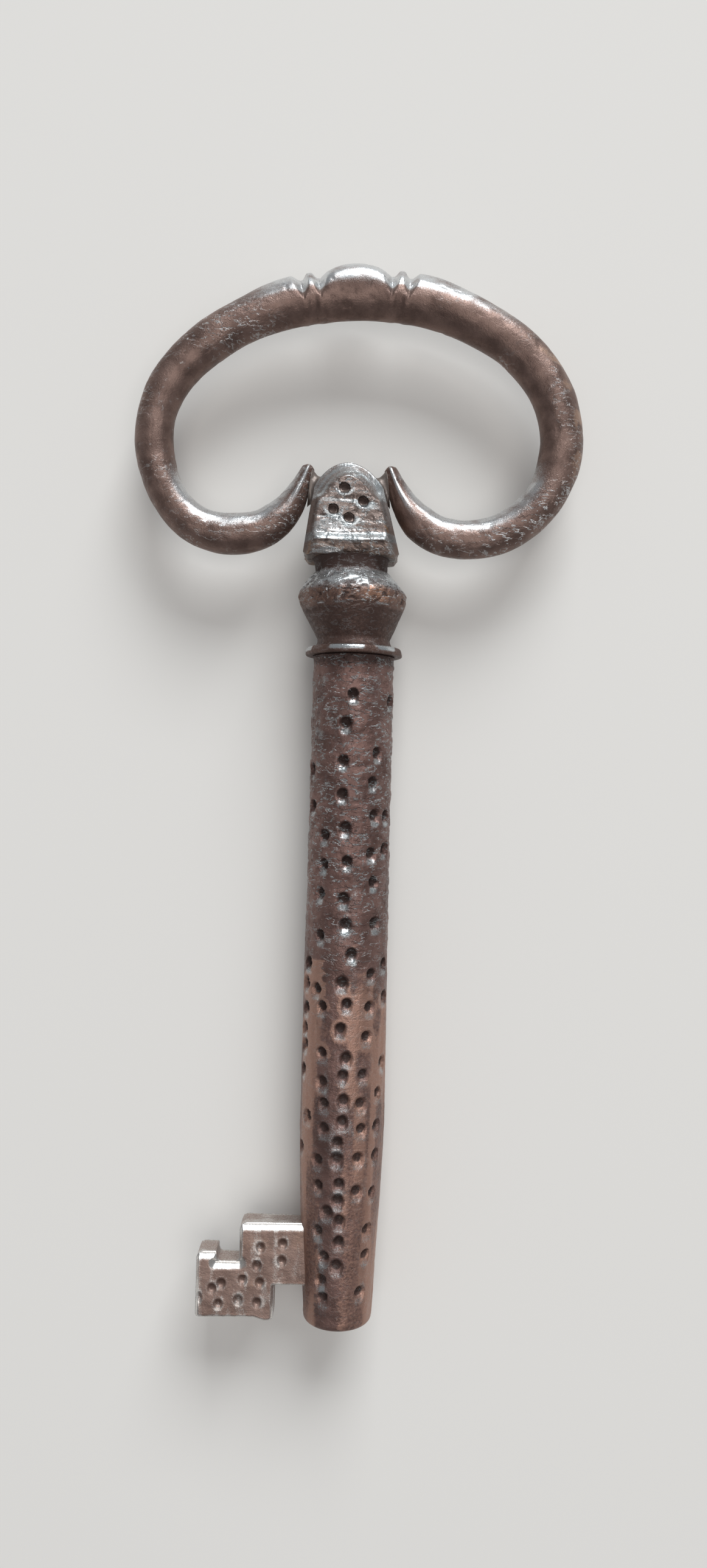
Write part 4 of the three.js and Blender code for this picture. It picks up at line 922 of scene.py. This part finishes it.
def block_half_at(rise):
    """Half width of the block at a rise, and far below nothing above it, where it stops no arm."""
    outline = block_outline()
    right = outline[:len(outline) // 2 + 1]
    right = right[right[:, 1] >= BLOCK_CORNER]
    return np.interp(rise, right[:, 1], right[:, 0], left=BLOCK_BASE_HALF, right=-9)


def forged_bow():
    """The bow: an oval section carried along the bar, lifted outwards on the crest and ridged on the leaves.

    The section is a superellipse. Its power falls from 2 on the bar to 1.4 at the leaves, which gives them
    their ridge. Notches and a filed slope are cut from its outer side on the crest. Where an arm meets the
    block it stops at the block's side."""
    line, heading, half, from_crown, from_tip = bow_path()
    outward = np.stack([-heading[:, 1], heading[:, 0]], axis=-1)
    turn = np.linspace(0, 2 * math.pi, BAR_ROUND, endpoint=False)
    cosine, sine = np.cos(turn), np.sin(turn)
    lift, scoop, notch_offset = crest(from_crown)
    leaf = ease(LEAF_RIDGE_LENGTH, 1, from_tip)
    power = (2 - 0.6 * leaf)[:, None]
    swell = (np.abs(cosine) ** power + np.abs(sine) ** power) ** (-1 / power)
    lifted = np.clip((cosine + 0.35) / 1.35, 0, 1) ** 1.2
    notch_width = np.clip((cosine + 0.25) / 0.9, 0, 1) ** 0.8
    crest_keep = ease(SHOULDER_AT + 8, SHOULDER_AT - 1, np.abs(from_crown))[:, None]
    bulge = 0.3 * np.clip(lift, 0, 1)[:, None]
    groove = NOTCH_DEPTH * np.maximum(0, notch_width - notch_offset[:, None]) * np.abs(sine)
    groove = groove + SCOOP_DEPTH * scoop[:, None] * 2 * np.abs(sine) * np.clip(cosine + 0.1, 0, 1)
    out = half[:, None] * cosine * swell + lift[:, None] * lifted - groove * cosine
    up = half[:, None] * BAR_FLATNESS * sine * swell * (1 + bulge * cosine) - groove * sine
    end = np.sqrt(np.clip(from_tip / TIP_ROUNDING, 0, 1))
    end[[0, -1]] = 0
    out, up = out * end[:, None], up * end[:, None]
    spot = np.concatenate([line[:, None] + out[..., None] * outward[:, None], up[..., None]], axis=-1)
    run = np.stack([from_crown[:, None] + 0 * turn, 2.6 * turn + 0 * from_crown[:, None], 0 * up], axis=-1)
    hammered = noise(spot, 4.5, 301) * 0.09 + rough(spot, 1.9, 311, 2) * 0.03
    grain = rough(run, (1.4, 0.5, 1), 321, 3) * 0.012
    pits = ease(0.45, 0.8, rough(spot, 0.9, 331, 3)) * 0.05
    relief = hammered * (1 - 0.7 * crest_keep) + grain - pits - 0.1
    relief = relief * end[:, None] * ease(0, 3, from_tip)[:, None]
    out = out + relief * cosine
    up = up + relief * sine
    place = line[:, None] + out[..., None] * outward[:, None]
    across, rise = place[..., 0], place[..., 1]
    side = np.sign(line[:, 0] - lean(BLOCK_START + 4))[:, None]
    away = side * (across - lean(BLOCK_START + rise))
    wall = block_half_at(rise) + BRAZE_SEAM
    arm = (from_tip < ARM_LENGTH)[:, None] & (np.abs(up) < ARM_HALF_DEPTH)
    away = np.where(arm, np.maximum(away, wall), away)
    across = lean(BLOCK_START + rise) + side * away
    right = ease(14, 22, from_crown)[:, None] * ease(44, 34, from_crown)[:, None] * ease(0.1, 0.7, cosine)
    specks = ease(0.45, 0.9, rough(spot, 0.5, 341, 3)) * ease(-12, -20, from_crown)[:, None]
    ridge = np.exp(-((np.abs(sine) - 1) / 0.03) ** 2) * leaf[:, None]
    wear = 0.6 + 0.25 * rough(spot, (1.6, 0.8, 1.6), 361, 3)
    # Painted highlight: the sides of the lobes and arms that face the crown are lightened through the rubbed
    # mark.
    painted_lobe_highlight = ease(0.0, 0.5, outward[:, 1:] * cosine) * ease(15, 9, line[:, 1])[:, None]
    # Wear and painted highlight: the outer side of the crest and the shoulders, the right shoulder much more
    # than the left, are lightened.
    shoulder = np.where(from_crown > 0, 0.85, 0.3) * ease(26, 11, np.abs(from_crown))
    rubbed_and_highlit = np.maximum(ease(0.1, 0.5, cosine) * crest_keep, ease(0.0, 0.6, cosine) * shoulder[:, None])
    wear_and_highlight = wear * rubbed_and_highlit + 0.25 * specks + 0.6 * ridge + (wear - 0.05) * painted_lobe_highlight
    crust = ease(-0.4, 0.5, rough(spot, 7, 371, 2)) * (1 - crest_keep)
    crust = crust * (1 - 0.8 * painted_lobe_highlight) * (1 - 0.6 * rubbed_and_highlit)
    rust = 0.55 * right * ease(-0.3, 0.5, rough(spot, 1.8, 351, 3)) + 0.05
    marks = {"rubbed": wear_and_highlight, "rust": rust, "scale": 5 * pits, "flaky": crust}
    points = key_points(across, BLOCK_START + rise, up)
    piece("forged_bow", points, FORGED_IRON, "bow_ring", marks)


def braze_web(name, side, node):
    """Old braze in the crotch between a leaf and the block: a saddle, thickest against the block.

    One parameter crosses from the block to the leaf, the other goes round the web's section. A parabola that
    peaks at WEB_WAIST draws the section in."""
    cross = np.linspace(0, 1, 40)[:, None]
    turn = np.linspace(0, 2 * math.pi, 72, endpoint=False)
    dip = 1 - 4 * (cross - WEB_WAIST) ** 2
    top = WEB_TOP_RISE + 0.5 * cross ** 2 - 0.5 * dip
    foot = WEB_FOOT_RISE + 0.3 * dip
    centre, tall = (top + foot) / 2, (top - foot) / 2
    deep = WEB_HALF_DEPTH - 0.6 * cross - 0.3 * dip
    ends = np.ones_like(cross)
    ends[[0, -1]] = 0
    up = ends * deep * np.sign(np.sin(turn)) * np.abs(np.sin(turn)) ** 0.8
    rise = centre + ends * tall * np.sign(np.cos(turn)) * np.abs(np.cos(turn)) ** 0.8
    inner = block_half_at(rise) - WEB_SINK
    outer = BLOCK_SHOULDER_HALF + WEB_REACH + 0.1 * np.clip(LEAF_TIP_RISE - rise, 0, 9)
    near = lean(BLOCK_START + rise) + side * inner
    far = lean(BLOCK_START + BLOCK_SHOULDER_RISE) + side * outer
    across = near + (far - near) * cross
    spot = np.stack([across, rise, up], axis=-1)
    up = up * (1 + 0.08 * rough(spot, 1.1, 401, 3))
    marks = {"rubbed": 0.12, "rust": 0.1, "scale": 0.2}
    points = key_points(across, BLOCK_START + rise, up)
    piece(name, points, DULL_BRAZE, node, marks)


def bit_outline():
    """The bit's outline as (across, along) points, each with its place on the spine."""
    top, step, floor = BIT_TOP, -BIT_STEP_AT, BIT_NOTCH_FLOOR
    prong, prong_top, end = -BIT_PRONG_AT, BIT_PRONG_TOP, -BIT_REACH
    bottom, heel = BIT_BOTTOM, BIT_BOTTOM - BIT_HEEL_DROP
    cut, root = -BIT_CUT_AT, -BIT_ROOT
    corners = [
        (root, top, -4.6), (step + 0.7, top, -10.6), (step + 0.2, top - 0.2, -11.0),
        (step, top - 0.7, -11.2),
        (step, floor + 0.35, -11.9), (step - 0.35, floor, -12.2), (prong + 0.55, floor, -14.6),
        (prong + 0.16, floor + 0.16, -14.9), (prong, floor + 0.55, -15.2), (prong, prong_top - 0.1, -15.4),
        (prong - 0.12, prong_top, -15.5), (end + 0.7, prong_top, -16.0), (end + 0.2, prong_top - 0.2, -16.1),
        (end, prong_top - 0.7, -16.2), (end, bottom + 0.4, -16.2), (end + 0.12, bottom + 0.12, -16.1),
        (end + 0.4, bottom, -16.0), (cut - BIT_HEEL_WIDTH, bottom, -10.6),
        (cut - BIT_HEEL_WIDTH / 2, heel, -9.4), (cut - 0.6, heel, -8.8), (cut - 0.17, heel + 0.17, -8.6),
        (cut, heel + 0.6, -8.5), (cut, BIT_CUT_TOP, -8.0), (root, BIT_CUT_TOP, -4.6), (root, top, -4.6),
    ]
    return even(np.array(corners), BIT_OUTLINE_STEP)[:-1]


def stepped_bit():
    """The bit: its outline drawn in to a spine along its middle, with bevelled edges and punched dots.

    The depth is the face's, which thickens outwards, less a bevel that fades away from the outline."""
    outline = bit_outline()
    edge_line = np.concatenate([outline[:, :2], outline[:1, :2]])
    spine = np.stack([outline[:, 2], np.full(len(outline), BIT_SPINE_RISE)], axis=-1)
    shrink = np.concatenate([np.linspace(0, 0.3, 16), np.linspace(0.3, 1, 26)[1:]])
    flat = outline[:, :2] + (spine - outline[:, :2]) * shrink[:, None, None]
    outwards = np.maximum(0, -PIPE_RADIUS - flat[..., 0])
    face_half = BIT_ROOT_HALF + BIT_THICKENING * outwards
    top_edges = [(-BIT_ROOT, BIT_TOP), (-BIT_STEP_AT, BIT_TOP)]
    floor_edges = [(-BIT_STEP_AT, BIT_NOTCH_FLOOR), (-BIT_PRONG_AT, BIT_NOTCH_FLOOR)]
    prong_edges = [(-BIT_PRONG_AT, BIT_PRONG_TOP), (-BIT_REACH, BIT_PRONG_TOP)]
    ledges = (top_edges, floor_edges, prong_edges)
    to_top = np.minimum.reduce([distance_to(flat, np.array(line)) for line in ledges])
    to_edge = distance_to(flat, edge_line)
    bevel = 0.6 * (1 - ease(0, 0.95, to_top))
    bevel = np.maximum(bevel, 0.5 * (1 - ease(0, 0.38, to_edge)))
    layers, marks = [], {"rubbed": [], "rust": [], "scale": []}
    for face in (1, -1):
        spot = np.stack([flat[..., 0], flat[..., 1], face * face_half], axis=-1)
        waves = noise(spot, (2.2, 3.2, 3), 501 + face) * 0.05 + rough(spot, 0.9, 511 + face, 3) * 0.022
        hole = np.zeros_like(to_edge)
        rim = np.zeros_like(to_edge)
        for dot in BIT_DOTS:
            beside, ahead = flat[..., 0] - dot[0], flat[..., 1] - dot[1]
            hole = np.maximum(hole, punch(beside, ahead, *BIT_DOT))
            rim += np.exp(-((np.hypot(beside, ahead) - 0.75) / 0.22) ** 2)
        inside = ease(0.05, 0.6, to_edge)
        height = face_half - bevel + (waves - 0.04 - hole) * inside
        layers.append(key_points(flat[..., 0], flat[..., 1], face * height))
        # Wear and painted highlight: the edges of the ledges facing the bow are lightened most through the
        # rubbed mark.
        edge = ease(0.35, 0.6, bevel) + 0.8 * ease(1.1, 0.5, to_top) + 0.5 * ease(0.55, 0.25, to_edge)
        brushed = ease(-0.2, 0.7, rough(spot, (0.7, 3, 1), 541 + face, 3))
        marks["rubbed"].append(np.clip(0.7 * edge, 0, 1) + 0.2 * rim + 0.25 * brushed)
        marks["rust"].append(0.1 + 0.3 * ease(0.1, 0.7, noise(spot, 2.4, 521)))
        # Partly scale, partly painted shade: the dots' bottoms are darkened.
        marks["scale"].append(ease(0.12, 0.4, hole) * 0.7)
    wall = np.linspace(1, -1, 20)[1:-1, None]
    wall_half = face_half[0] - bevel[0]
    side = key_points(outline[:, 0] + 0 * wall, outline[:, 1] + 0 * wall, wall * wall_half)
    blotch = rough(side / MM, (2.2, 2.2, 1.1), 531, 4)
    walls = {"rubbed": 0.3 + 0.2 * ease(0.1, 0.8, blotch) + 0.2 * np.abs(wall) ** 6,
             "rust": 0.15 + 0.3 * ease(0.0, -0.7, blotch), "scale": 0.25 * ease(0.2, -0.5, blotch)}
    joined = {name: over_wall(front, walls[name], back) for name, (front, back) in marks.items()}
    points = over_wall(layers[0], side, layers[1])
    piece("stepped_bit", points, BIT_IRON, "bit", joined)


punched_pipe()
collar()
neck()
filed_block()
forged_bow()
braze_web("left_web", -1, "bow_braze_left")
braze_web("right_web", 1, "bow_braze_right")
stepped_bit()


def floor():
    """A plain pale floor just under the key."""
    size = 3.0
    mesh = bpy.data.meshes.new("pale_floor")
    drop = -0.02 * MM
    corners = [(-size, -size, drop), (size, -size, drop), (size, size, drop), (-size, size, drop)]
    mesh.from_pydata(corners, [], [(0, 1, 2, 3)])
    paper = bpy.data.materials.new("pale_paper")
    paper.use_nodes = True
    shader = paper.node_tree.nodes["Principled BSDF"]
    shader.inputs["Base Color"].default_value = (*colour(236, 234, 230), 1)
    shader.inputs["Roughness"].default_value = 0.9
    shader.inputs["Specular IOR Level"].default_value = 0.1
    mesh.materials.append(paper)
    made = bpy.data.objects.new("pale_floor", mesh)
    bpy.context.scene.collection.objects.link(made)


def soft_light(name, place, size, power, tint):
    """A rectangular soft lamp that points at the middle of the key."""
    lamp = bpy.data.lights.new(name, "AREA")
    lamp.shape = "RECTANGLE"
    lamp.size, lamp.size_y = size
    lamp.energy = power
    lamp.color = tint
    made = bpy.data.objects.new(name, lamp)
    bpy.context.scene.collection.objects.link(made)
    made.location = place
    target = np.array([0, 0.005, AXIS_Z * MM])
    direction = Vector(target - np.array(place))
    made.rotation_euler = direction.to_track_quat("-Z", "Y").to_euler()


def studio():
    """A window beyond the bow and a little to its right, a weak fill from overhead and a grey room."""
    soft_light("window", (0.5, 2.2, 1.36), (1.5, 1.25), 58.0, (0.95, 0.98, 1.0))
    soft_light("fill", (0.1, -0.05, 0.9), (0.7, 0.7), 2.4, (1.0, 0.96, 0.93))
    world = bpy.data.worlds.new("room")
    world.use_nodes = True
    room = world.node_tree.nodes["Background"]
    room.inputs["Color"].default_value = (0.86, 0.88, 0.92, 1)
    room.inputs["Strength"].default_value = 0.26
    bpy.context.scene.world = world


def camera():
    """The photograph's view: straight down, with the camera turned a little."""
    lens = bpy.data.cameras.new("overhead")
    lens.lens = 26.0
    lens.sensor_width = 36.0
    lens.clip_start = 0.01
    made = bpy.data.objects.new("overhead", lens)
    bpy.context.scene.collection.objects.link(made)
    made.location = (0.000389, 0.000885, 0.14675)
    made.rotation_euler = (0, 0, math.radians(1.47))
    bpy.context.scene.camera = made


floor()
studio()
camera()
bpy.context.scene.view_settings.view_transform = "Standard"
